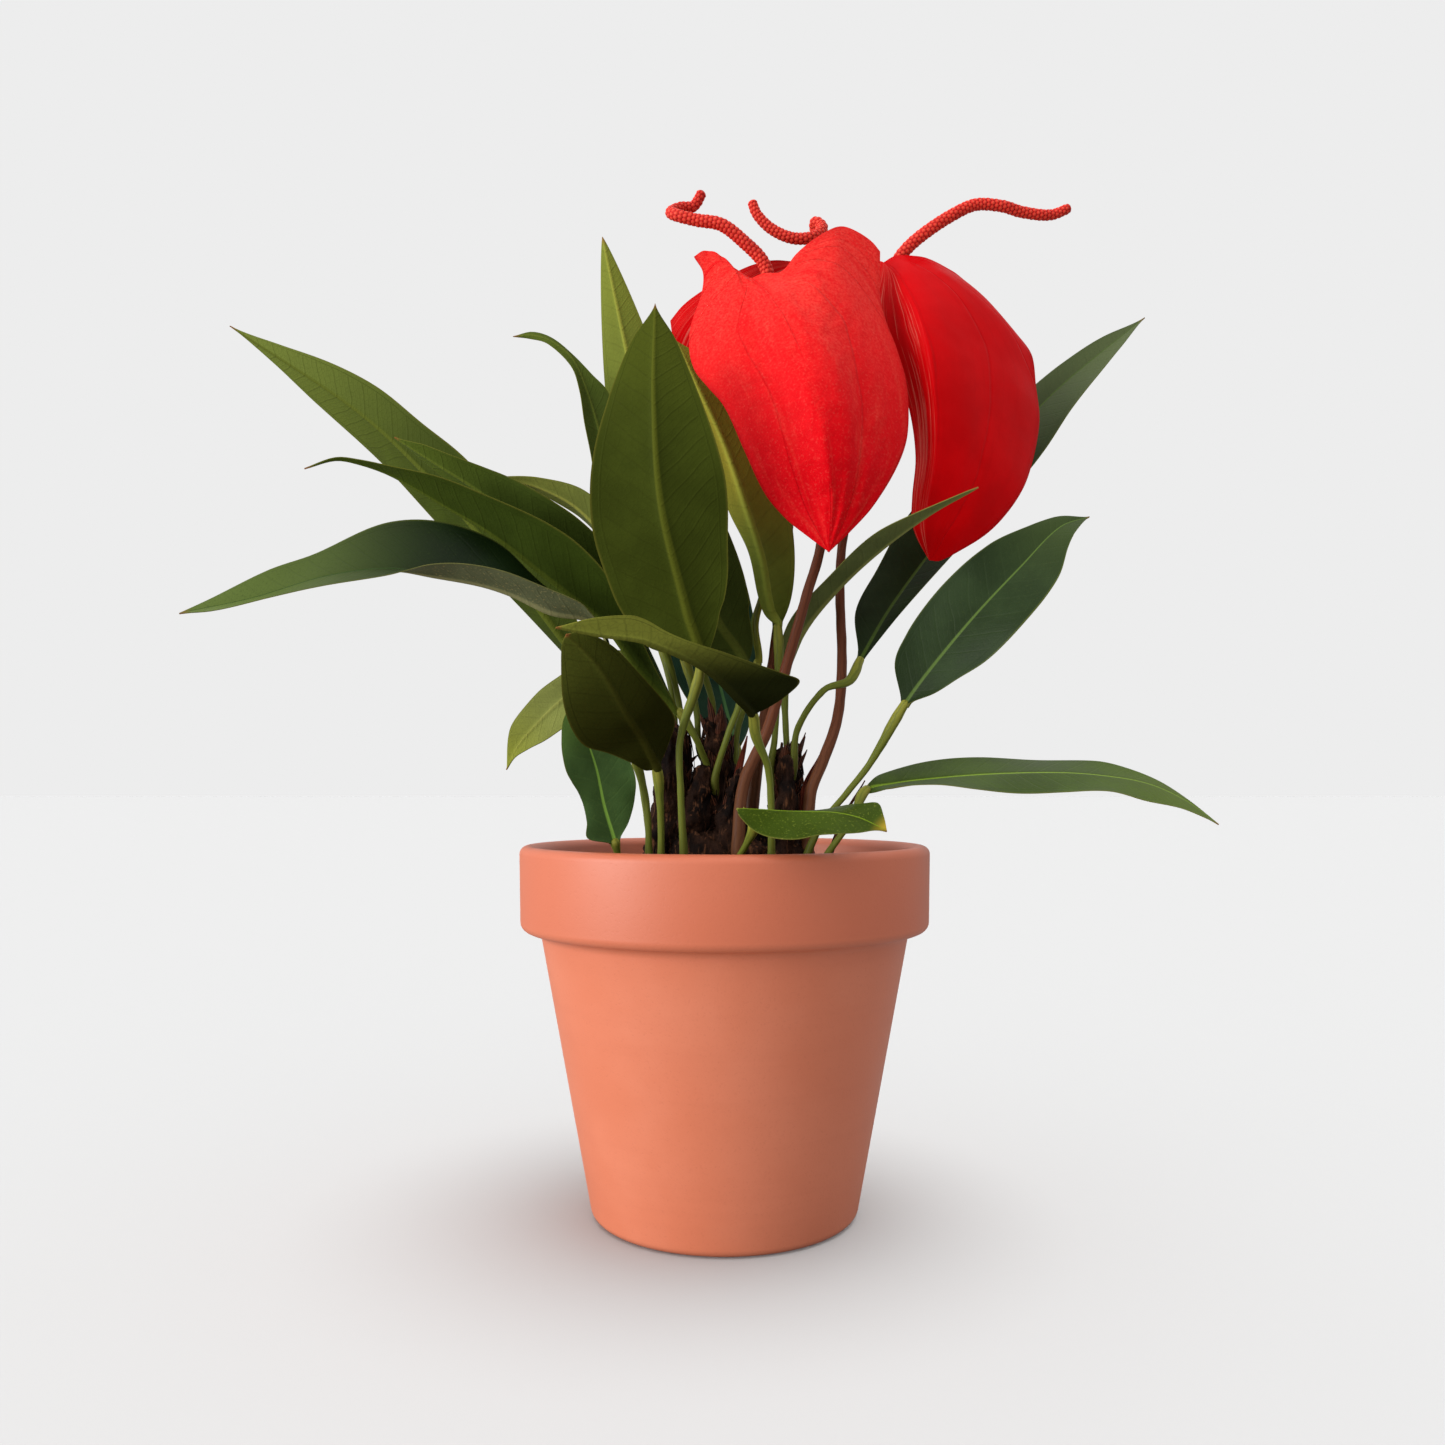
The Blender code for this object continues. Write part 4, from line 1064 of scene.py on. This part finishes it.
        "edges": ([(44.3, -15, 24), (52.4, -17, 26.1), (64, -21, 26.4), (75.3, -24, 25.2), (88, -26, 24.3),
                    (101.6, -28, 24.3), (115.3, -29, 24.3), (125, -30, 21.9), (135.4, -29, 19.8),
                    (142.9, -28, 16.9)],
                  [(45.2, -13, 27.4), (49.6, -8, 30.3), (62.7, -4, 33.8), (79.8, -3, 35.1), (96.9, -5, 34.8),
                    (116.3, -9, 34), (124.7, -13, 31.7), (133.4, -18, 27.7), (140.2, -23, 22.2)]),
        "hues": ((72, 92, 36), (116, 124, 70)),
    },
    "rim_front": {
        "root": ("soil", 3, -36), "stalk": [(6, -42, 9), (8, -48, 15)],
        "midrib": [(3.7, -50, 19.6), (8.3, -53, 19.9), (16.5, -57, 19.4), (23.4, -60, 19.2), (29.7, -62, 18.9),
                    (36.2, -64, 17.4), (43, -67, 14)],
        "edges": ([(3.6, -52, 18.8), (4.9, -57, 16.4), (8.1, -62, 13.8), (13.8, -67, 12.4), (19.5, -69, 11.9),
                    (25.5, -70, 13), (31.5, -70, 13.6), (35.6, -69, 13.8), (39.7, -68, 14.3)],
                  [(3.7, -49, 19.5), (8.6, -45, 18.3), (17, -46, 17.8), (24.2, -48, 18.7), (29, -52, 19.9),
                    (33, -56, 20.5), (37.2, -60, 21.1), (41.2, -63, 21.4), (42.4, -65.5, 17.9)]),
        "hues": ((64, 82, 20), (116, 124, 56)),
        "look": {"specks": 0.55, "paleGain": (3.4, 2.6, 4.0)}, "tipHue": (190, 160, 50), "fade": (0.9, 1.0),
    },
    "edge_centre": {
        "root": ("middle", 22, 30), "stalk": [(4, 4, 43), (7, 6, 54), (11, 8, 67)],
        "midrib": [(10, 10, 80), (13, 14, 92), (18, 20, 114), (24, 28, 141), (27, 38, 169)],
        "half": 8, "top": ((-1.0, 0.0, 0.1), (-1.0, -0.2, 0.1)), "fold": (10, 15),
        "hues": ((72, 84, 36), (112, 118, 48)),
    },
}


def bumpShape(share, peak):
    return math.sin(math.pi * share ** (math.log(0.5) / math.log(peak)))


def halfOf(leaf):
    # how wide a leaf is to each side, along its length
    if "widths" in leaf:
        return lambda positive, along: max(0.05, readTable(leaf["widths"][0 if positive else 1], along))
    widestAt, fullness, foot = 0.42, 0.85, 0.9

    def half(positive, along):
        swell = bumpShape(along, widestAt) ** fullness if 0.001 < along < 0.999 else 0
        return 0.05 + leaf["half"] * swell + foot * (1 - along) ** 20

    return half


def stalkMaterial(name, look):
    material, tree = newMaterial(name)
    marks = useMottle(tree, 150.0, 1600.0)
    along = readValue(tree, "along")
    wavy = plus(tree, times(tree, readValue(tree, "turn"), look["streaks"]), times(tree, marks["Patches"], 1.6))
    streaks = calc(tree, "PINGPONG", wavy, 0.5)
    colour = blend(tree, ramp(tree, along, 0.0, 0.35), look["foot"], look["stem"])
    colour = lay(tree, colour, look["joint"], ramp(tree, along, 0.72, 1.0))
    colour = lay(tree, colour, look["streak"], ramp(tree, streaks, 0.2, 0.5), look["streakShow"])
    colour = lay(tree, colour, look["foot"], marks["Pits"], 0.18)
    rough = ramp(tree, marks["Patches"], 0.3, 0.7, 0.4, 0.52)
    height = plus(tree, times(tree, streaks, 0.7), times(tree, marks["Speckle"], 0.4))
    dress(tree, colour, rough, height, 0.25, 0.2, 0.14)
    return material


def makeLeaves():
    stem = {"foot": tint(88, 88, 34), "stem": tint(112, 120, 44), "joint": tint(150, 148, 58),
            "streak": tint(80, 94, 32), "streaks": 5.0, "streakShow": 0.45}
    stalkGreen = stalkMaterial("stalkGreen", stem)
    stalkWidths = [1.6, 1.3, 1.1, 1.0, 1.0, 1.02, 1.1, 1.4, 1.65, 1.3]
    for name, leaf in leaves.items():
        stalk = rootPoints(leaf["root"], 1.3) + leaf["stalk"]
        at, knots = smoothPath(stalk + leaf["midrib"])
        joint = knots[len(stalk) - 1]
        rows = max(14, round(joint / 1.6))
        piece = layTube(f"stalk.{name}", at, 0, joint + 1.5,
                        lambda share: readTable(stalkWidths, share), 14, rows,
                        lambda share, turn, point: (0.12 * noise.noise(point * 0.3)
                                                    + 0.05 * math.cos(3 * fullTurn * turn)))
        finishPiece(piece, [f"petiole_{name}"], stalkGreen)
        seed = len(name) * 1.7
        top, under = leaf["hues"]
        hues = []
        for side, hue in (("top", tint(*top)), ("under", tint(*under))):
            look = leafSides[side]
            # the lighter green towards the tip is painted light: the leaf's own green raised by a gain, or a
            # green given for the leaf
            tipHue = tuple(h * g for h, g in zip(hue, look["tipLightGain"])) + (1,)
            if "tipHue" in leaf:
                tipHue = tint(*leaf["tipHue"])
            own = {**look, **leaf.get("look", {})}
            hues.append(leafMaterial(f"leaf{side.capitalize()}.{name}", hue, tipHue,
                                     leaf.get("fade", (0.55, 1.0)), own))
        blade = {
            "grid": (26, 90), "thickness": 0.42, "rib": 1.1,
            "relief": lambda across, along, reach: -0.28 * math.exp(-(reach / 0.7) ** 2) * (1 - along),
        }
        if "edges" in leaf:
            tip = leaf["midrib"][-1]
            blade["edges"] = [[stalk[-1]] + edge + [tip] for edge in leaf["edges"]]
            blade["wave"] = (0.35, 5.0, seed)
            piece = layDrawn(f"leaf.{name}", at, joint, knots[-1], blade, hues)
        else:
            blade.update(top=leaf["top"], fold=leaf["fold"], half=halfOf(leaf), curl=-0.06,
                         wave=(0.8, 4.0, seed), soft=0.03)
            piece = layBlade(f"leaf.{name}", at, joint, knots[-1], blade, hues)
        finishPiece(piece, [f"leaf_{name}"])
    print("leaves done")


makeLeaves()


flowers = {
    "front": {
        "root": ("soil", 4, -18),
        "stalk": [(6, -17, 27), (13, -18, 43), (19, -19, 63), (25, -20, 84), (30, -19, 102), (31, -15, 125),
                  (29, -12, 151),
                  (21, -12, 172), (15, -17, 183)],
        "spadix": [(12, -18, 191), (6, -19, 197), (-1, -20, 202), (-9, -19, 204), (-15, -18, 206),
                   (-17, -14, 209),
                   (-14, -11, 212), (-10, -10, 213), (-7, -10, 218)],
        "spathe": [(8.6, -20, 184.9), (14.9, -31, 173.2), (20.8, -39, 159), (25.8, -46, 140.3),
                   (29.1, -47, 122.4),
                   (30.9, -42, 107.6), (30.6, -38, 94.6)],
        "edges": ([(-9.8, -12, 194.9), (-6.9, -15, 188.4), (-7.4, -18, 180.3), (-10.5, -21, 169.8),
                  (-11, -24, 160.7), (-9.1, -27, 153), (-5.4, -29, 147.4), (-0.2, -31, 140.2), (6, -34, 125.3),
                  (11.9, -36, 112.4), (18, -37, 104.7), (24.2, -37.5, 99.5), (30.6, -38, 94.6)],
                  [(49.8, -12, 196.9), (49.1, -16, 180.8), (50.2, -19, 172.2), (53.4, -22, 161.8),
                   (56, -25, 149.4),
                  (55.7, -28, 133.5), (52.1, -31, 122.5), (44, -35, 109), (36.9, -37, 100.8),
                  (30.6, -38, 94.6)]),
        "tops": ([(8.6, -20, 184.9), (4.2, -18, 188.3), (-0.8, -15, 194.2), (-6.3, -12, 197.2),
                  (-9.8, -12, 194.9)],
                 [(8.6, -20, 184.9), (12.3, -21, 185.7), (17.5, -22, 185.9), (22, -20, 191.9),
                  (27.2, -18, 197.7),
                 (32.8, -16, 201.9), (37.4, -14, 204.5), (42, -13, 203.3), (46.9, -12, 200.5),
                 (49.8, -12, 196.9)]),
        "crown": 1.45, "furrows": [(0.36, 0.15, 1.5, 0.5), (-0.5, 0.15, 0.9, 0.55), (0.78, 0.1, 0.7, 0.35)],
        "creases": 1.0, "finish": "matte",
    },
    "right": {
        "root": ("soil", 26, -9),
        "stalk": [(27, -9, 24), (31, -8, 34), (36, -5, 48), (38, 0, 66), (38, 5, 95), (40, 8, 112),
                  (46, 12, 135),
                  (53, 15, 155), (57, 14, 169), (57, 9, 179), (56.4, 4.6, 185), (56, 1.5, 192)],
        "spadix": [(56.5, 0, 198), (60, -1, 203), (66, -2, 208), (75, -2, 214), (83, -1, 218), (92, 0, 218),
                   (99, 2, 217),
                   (109, 4, 217), (116, 5, 220)],
        "spathe": [(52.3, -3, 197.7), (56.5, -9, 190), (61.8, -17, 173), (64.8, -22, 151), (65.2, -22, 128.7),
                   (62.8, -17, 109), (64.3, -13, 97.1)],
        "edges": ([(49.4, 0, 198.4), (48.7, -2, 183.4), (51.3, -4, 174.5), (54.8, -8, 162.8),
                   (58.7, -11, 145.8),
                  (60.3, -12, 130), (59.3, -12, 117.5), (59.2, -12, 109.1), (61, -12.5, 103.3),
                  (64.3, -13, 97.1)],
                  [(86.4, 4, 184.8), (94.5, 6, 179.5), (100, 7, 174.4), (103.2, 8, 169.7), (104.4, 8, 159.8),
                  (105.3, 7, 150.6), (104.6, 6, 143.2), (101.3, 3, 131.5), (97.5, 0, 123.1), (91.4, -3, 114.5),
                  (83.7, -7, 106.7), (73.8, -11, 100.1), (67.5, -12.5, 96.9), (64.3, -13, 97.1)]),
        "tops": ([(52.3, -3, 197.7), (50.8, -1.5, 198.7), (49.4, 0, 198.4)],
                 [(52.3, -3, 197.7), (55.2, -3, 199.4), (58.5, -3, 200), (66.2, -2, 199.5), (73.3, -1, 196.6),
                 (79.9, 1, 192.7), (86.4, 4, 184.8)]),
        "crown": 1.5, "furrows": [(-0.5, 0.2, 0.5, 0.5)], "creases": 0.35, "finish": "glossy",
    },
    "back": {
        "root": ("soil", 9, 8),
        "stalk": [(11, 9, 34), (16, 11, 67), (18, 12, 82), (20, 14, 99), (25, 18, 141), (30, 21, 180),
                  (33, 18, 200)],
        "spadix": [(33, 16, 207), (32, 15, 213), (31, 12, 218), (33, 9, 215), (30, 5, 210), (23, 4, 209),
                   (16, 4, 212),
                   (11, 4, 217), (9, 4, 222)],
        "spathe": [(31.6, 15.4, 201), (20.4, 9, 190), (15.2, 7, 172), (10.2, 9, 155.7), (6.9, 12, 142.9)],
        "edges": ([(-18.1, 4, 180.4), (-16.8, 3, 173.9), (-11.4, 3, 166.5), (-4.2, 5, 156), (1.8, 9, 148.2),
                  (6.9, 12, 142.9)],
                  [(45.9, 16, 196.4), (42.7, 13, 177.8), (32.2, 11, 158), (18.7, 12, 148.1), (6.9, 12, 142.9)]),
        "tops": ([(31.6, 15.4, 201), (31.1, 15, 205.8), (22.3, 12, 204.8), (17.4, 8, 203.4), (12.5, 5, 201.3),
                 (5.8, 3, 198), (-1.5, 2, 193.5), (-7.8, 2, 189.8), (-13.8, 3, 185.4), (-18.1, 4, 180.4)],
                 [(31.6, 15.4, 201), (38, 16, 204.9), (43.3, 17, 202.5), (45.9, 16, 196.4)]),
        "crown": 1.6, "furrows": [(0.4, 0.2, 0.6, 0.5)], "creases": 0.4, "finish": "glossy",
    },
}


def makeSpatheVeinGroup():
    # veins that fan out from the notch and meet at the tip, wrinkled across
    counts = {"Count": 3.0, "Streak Count": 6.0}
    group, source, sink = newGroup("spatheVeins", counts, ["Fan", "Wrinkles", "Streaks", "Edge"])
    spot = objectSpot(group)
    sway = times(group, calc(group, "SUBTRACT", noiseOf(group, spot, 30.0, 2.0), 0.5), 0.16)
    fan = plus(group, calc(group, "ABSOLUTE", readValue(group, "fan")), sway)
    beat = calc(group, "PINGPONG", times(group, fan, source["Count"]), 0.5)
    group.links.new(ramp(group, beat, 0.0, 0.045, 1.0, 0.0), sink["Fan"])
    wide = noiseOf(group, spot, 190.0, 4.0, 0.65, 0.6)
    fine = noiseOf(group, spot, 620.0, 3.0, 0.6, 0.3)
    group.links.new(plus(group, times(group, wide, 0.7), times(group, fine, 0.3)), sink["Wrinkles"])
    course = put(group, "ShaderNodeCombineXYZ", {
        0: times(group, readValue(group, "fan"), source["Streak Count"]),
        1: times(group, readValue(group, "along"), 2.4)}).outputs[0]
    group.links.new(noiseOf(group, course, 1.0, 5.0, 0.62, 0.5), sink["Streaks"])
    share = calc(group, "ABSOLUTE", readValue(group, "across"))
    group.links.new(ramp(group, share, 0.93, 1.0), sink["Edge"])
    return group


spatheVeins = makeSpatheVeinGroup()


def spatheMaterial(name, look):
    material, tree = newMaterial(name)
    marks = useMottle(tree, 45.0, 1300.0)
    lines = useGroup(tree, spatheVeins, {"Count": look["veins"], "Streak Count": look["streaks"]})
    speckle, streaks, wrinkles = marks["Speckle"], lines["Streaks"], lines["Wrinkles"]
    # painted light along the streaks: the streak hue on their light runs is a painted highlight, on the glossy
    # spathe a painted reflection in the strip beside its fold
    streakLight = times(tree, ramp(tree, readValue(tree, "across"), *look["streakLightFrom"]), look["streakShow"])
    colour = blend(tree, ramp(tree, marks["Patches"], 0.34, 0.68), look["deep"], look["red"])
    # painted light: the high hue laid over the notch end, lightest there and gone by three quarters of the
    # length
    colour = lay(tree, colour, look["high"], ramp(tree, readValue(tree, "along"), 0.75, 0.0), look["lift"])
    colour = lay(tree, colour, look["streak"], ramp(tree, streaks, *look["streakLightRange"]), streakLight)
    # painted shade: the deep hue laid on the dark runs of the streaks
    colour = lay(tree, colour, look["deep"], ramp(tree, streaks, 0.5, 0.3), look["shade"])
    # painted highlights: the pale hue laid on the raised wrinkle crests
    colour = lay(tree, colour, look["pale"], ramp(tree, wrinkles, 0.54, 0.78), look["wrinkleHighlight"])
    colour = lay(tree, colour, look["vein"], lines["Fan"], look["veinShow"])
    colour = lay(tree, colour, look["deep"], ramp(tree, speckle, 0.56, 0.36), look["grain"])
    colour = lay(tree, colour, look["pale"], ramp(tree, speckle, 0.55, 0.72), look["grain"] * 0.4)
    colour = lay(tree, colour, look["vein"], lines["Edge"], 0.25)
    rough = ramp(tree, wrinkles, 0.3, 0.7, *look["rough"])
    height = calc(tree, "SUBTRACT", times(tree, wrinkles, look["wrinkle"]), times(tree, lines["Fan"], 0.5))
    height = plus(tree, height, times(tree, speckle, 0.15))
    shader = dress(tree, colour, rough, height, look["bump"], 0.6, look["gloss"])
    if look["coat"]:
        coat = times(tree, ramp(tree, marks["Patches"], 0.3, 0.7, 0.7, 1.0), look["coat"])
        tree.links.new(coat, shader.inputs["Coat Weight"])
        shader.inputs["Coat Roughness"].default_value = 0.16
    return material


def spadixMaterial(look):
    material, tree = newMaterial("spadixBeads")
    marks = useMottle(tree, 120.0, 1800.0)
    rise = readValue(tree, "bead")
    # painted light: the deep hue between the beads is painted shade, the tip hue on their crowns a painted
    # highlight
    colour = blend(tree, ramp(tree, rise, 0.05, 0.75), look["deep"], look["red"])
    colour = lay(tree, colour, look["tip"], ramp(tree, rise, 0.75, 1.0), 0.55)
    colour = lay(tree, colour, look["deep"], ramp(tree, marks["Patches"], 0.45, 0.7), 0.3)
    rough = ramp(tree, rise, 0.0, 1.0, 0.7, 0.42)
    dress(tree, colour, rough, marks["Speckle"], 0.3, 0.2, 0.12)
    return material


def beadHeight(share, turn, length):
    # small flowers in staggered rings
    around, pitch = 8, 1.35
    row = share * length / pitch
    low = math.floor(row)
    best = 0
    for ring in (low, low + 1):
        column = turn * around + (0.5 if ring % 2 else 0)
        off = column - round(column)
        dx = off * 1.3
        dy = (row - ring) * pitch
        best = max(best, 1 - (dx * dx + dy * dy) / 0.62)
    return max(0, best) ** 0.6


def makeFlowers():
    stalkLook = {"foot": tint(118, 76, 50), "stem": tint(120, 66, 44), "joint": tint(128, 58, 42),
                 "streak": tint(88, 48, 32), "streaks": 7.0, "streakShow": 0.45}
    stalkBrown = stalkMaterial("flowerStalk", stalkLook)
    # deep and tip paint shade between the beads and highlights on their crowns
    beads = spadixMaterial({"red": tint(230, 52, 40), "deep": tint(158, 16, 20), "tip": tint(246, 104, 74)})
    # the streak hues and shade amounts below paint highlights and shade along the streaks
    reds = {
        # high and lift in each look paint light over the notch end
        "matte": spatheMaterial("spatheMatte", {
            "red": tint(240, 8, 24), "deep": tint(234, 4, 18), "high": tint(250, 60, 50), "lift": 0.75,
            "pale": tint(250, 92, 80),
            # the pale hue laid on the wrinkle crests is a painted highlight
            "vein": tint(140, 6, 12), "wrinkleHighlight": 0.3, "veins": 2.0, "veinShow": 0.16, "streaks": 5.0,
            "streakLightFrom": (-3.0, -2.0),
            "streakLightRange": (0.5, 0.75), "streakShow": 0.5, "grain": 0.6, "streak": tint(252, 80, 64),
            "shade": 0.8, "rough": (0.5, 0.62), "gloss": 0.05, "coat": 0.00,
            "wrinkle": 1.0, "bump": 0.6}),
        "glossy": spatheMaterial("spatheGlossy", {
            "red": tint(224, 1, 8), "deep": tint(204, 0, 5), "high": tint(226, 2, 14), "lift": 0.6,
            "pale": tint(226, 40, 40),
            "vein": tint(150, 1, 5), "wrinkleHighlight": 0.03, "veins": 2.0, "veinShow": 0.18, "streaks": 16.0,
            "streakLightFrom": (0.02, 0.2),
            "streakLightRange": (0.52, 0.66), "streakShow": 0.8, "grain": 0.12, "streak": tint(236, 110, 96),
            "shade": 0.3, "rough": (0.3, 0.38), "gloss": 0.03, "coat": 0.02,
            "wrinkle": 0.25, "bump": 0.3}),
        "under": spatheMaterial("spatheUnder", {
            "red": tint(196, 10, 18), "deep": tint(176, 6, 14), "high": tint(210, 30, 30), "lift": 0.6,
            "pale": tint(226, 80, 70),
            "vein": tint(128, 10, 14), "wrinkleHighlight": 0.2, "veins": 2.0, "veinShow": 0.3, "streaks": 5.0,
            "streakLightFrom": (-3.0, -2.0),
            "streakLightRange": (0.5, 0.8), "streakShow": 0.25, "grain": 0.2, "streak": tint(230, 70, 60),
            "shade": 0.4, "rough": (0.5, 0.6), "gloss": 0.05, "coat": 0.00,
            "wrinkle": 0.8, "bump": 0.5}),
    }
    for name, flower in flowers.items():
        stalk = rootPoints(flower["root"], 1.6) + flower["stalk"]
        at, knots = smoothPath(stalk + flower["spadix"])
        joint = knots[len(stalk) - 1]
        piece = layTube(f"flowerStalk.{name}", at, 0, joint + 1,
                        lambda share: readTable([2.1, 1.75, 1.6, 1.5, 1.45, 1.5], share), 16,
                        round(joint / 1.6), lambda share, turn, point: 0.12 * noise.noise(point * 0.25))
        finishPiece(piece, [f"peduncle_{name}"], stalkBrown)
        start, end = joint - 0.5, knots[-1]
        rows = round((end - start) * 6)
        piece = layTube(
            f"spadix.{name}", at, start, end, lambda share: readTable([1.7, 1.75, 1.7, 1.6, 1.5, 1.3], share),
            64, rows,
            lambda share, turn, point: 0.42 * beadHeight(share, turn, end - start))
        share, turn = piece.data.attributes["along"], piece.data.attributes["turn"]
        addValues(piece, "bead", [beadHeight(s.value, t.value, end - start)
                                  for s, t in zip(share.data, turn.data)])
        finishPiece(piece, [f"spadix_{name}"], beads)
        at, knots = smoothPath(flower["spathe"])

        def relief(across, along, reach, flower=flower):
            rise = 0.0
            for middle, wide, deep, peak in flower["furrows"]:
                swell = bumpShape(along, peak) if 0 < along < 1 else 0
                rise -= deep * math.exp(-((across - middle) / wide) ** 2) * swell
            spot = Vector((across * 28, along * 90, 3.0))
            longCrease = Vector((spot.x * 0.16, spot.y * 0.035, 1.0))
            crease = 0.9 * noise.noise(longCrease) + 0.3 * noise.noise(spot * 0.3)
            return (rise + flower["creases"] * crease) * min(1, 8 * (1 - along)) * (1 - abs(across) ** 6)

        sheet = {
            "grid": (88, 112), "edges": flower["edges"], "tops": flower["tops"], "topFade": 2.2,
            "crown": flower["crown"],
            "relief": relief, "thickness": 0.7, "rib": 0.5, "crowd": 1.0, "wave": (0.5, 3.0, 0.4),
        }
        piece = layDrawn(f"spathe.{name}", at, 0, knots[-1], sheet, [reds[flower["finish"]], reds["under"]])
        finishPiece(piece, [f"spathe_{name}"])
    print("flowers done")


makeFlowers()


def makeStudio():
    studio = {
        "floor": tint(173, 173, 173), "floorBounce": tint(117, 117, 117), "backdrop": tint(237, 237, 237),
        "around": 0.5, "overhead": 0.9,
        "lamps": {
            "keyLamp": {"from": (-0.86, -0.46, 0.17), "energy": 2.7, "angle": 46, "lights": "plant",
                        "blockedBy": "plant"},
            "floorLamp": {"from": (0.0, 0.0, 1.0), "energy": 0.62, "angle": 60, "lights": "floor",
                          "blockedBy": "floor"},
            "shadeLamp": {"from": (0.1, 0.0, 1.0), "energy": 2.9, "angle": 56, "lights": "floor",
                          "blockedBy": "pot"},
        },
        "lens": 29.82, "camera": (-0.68, -386, 131.5), "pitch": 93.29,
    }
    pickNone()
    bpy.ops.mesh.primitive_plane_add(size=60, location=(0, 0, 0))
    floor = rename(bpy.context.object, "studioFloor")
    material, tree = newMaterial("studioFloor")
    shader = tree.nodes["Principled BSDF"]
    # the floor throws back less light than it shows, as a lit sweep far below the lamps does
    ray = put(tree, "ShaderNodeLightPath").outputs["Is Camera Ray"]
    tree.links.new(blend(tree, ray, studio["floorBounce"], studio["floor"]), shader.inputs["Base Color"])
    shader.inputs["Roughness"].default_value = 1.0
    shader.inputs["Specular IOR Level"].default_value = 0.0
    floor.data.materials.append(material)
    world = bpy.data.worlds.new("studioWorld")
    bpy.context.scene.world = world
    world.use_nodes = True
    tree = world.node_tree
    tree.nodes.clear()
    ray = put(tree, "ShaderNodeLightPath").outputs["Is Camera Ray"]
    spot = put(tree, "ShaderNodeTexCoord").outputs["Generated"]
    high = put(tree, "ShaderNodeSeparateXYZ", {0: spot}).outputs["Z"]
    high = calc(tree, "POWER", calc(tree, "MAXIMUM", high, 0.0), 2.0)
    glow = plus(tree, times(tree, high, studio["overhead"]), studio["around"])
    seen = put(tree, "ShaderNodeBackground", {"Color": studio["backdrop"], "Strength": 1.0})
    lit = put(tree, "ShaderNodeBackground", {"Color": (1, 1, 1, 1), "Strength": glow})
    mixed = put(tree, "ShaderNodeMixShader", {0: ray, 1: lit.outputs[0], 2: seen.outputs[0]})
    out = tree.nodes.new("ShaderNodeOutputWorld")
    tree.links.new(mixed.outputs[0], out.inputs["Surface"])
    # the key lamp lights the plant alone and two more the floor alone, which keeps a faint, even shadow
    pieces = [piece for piece in bpy.data.objects if piece.type == "MESH" and piece is not floor]
    groups = {}
    for name, members in (("plant", pieces), ("floor", [floor]),
                          ("pot", [p for p in pieces if p.name == "terracottaPot"])):
        groups[name] = bpy.data.collections.new(name)
        for piece in members:
            groups[name].objects.link(piece)
    for name, look in studio["lamps"].items():
        data = bpy.data.lights.new(name, "SUN")
        data.energy = look["energy"]
        data.angle = math.radians(look["angle"])
        lamp = bpy.data.objects.new(name, data)
        lamp.rotation_euler = Vector(look["from"]).to_track_quat("Z", "Y").to_euler()
        bpy.context.scene.collection.objects.link(lamp)
        lamp.light_linking.receiver_collection = groups[look["lights"]]
        lamp.light_linking.blocker_collection = groups[look["blockedBy"]]
    data = bpy.data.cameras.new("camera")
    data.lens = studio["lens"]
    data.sensor_width = 36
    data.clip_start = 0.01
    data.clip_end = 200
    camera = bpy.data.objects.new("camera", data)
    camera.location = Vector(studio["camera"]) * mm
    camera.rotation_euler = (math.radians(studio["pitch"]), 0, 0)
    bpy.context.scene.collection.objects.link(camera)
    bpy.context.scene.camera = camera
    bpy.context.scene.view_settings.view_transform = "Standard"
    print("studio done")


makeStudio()
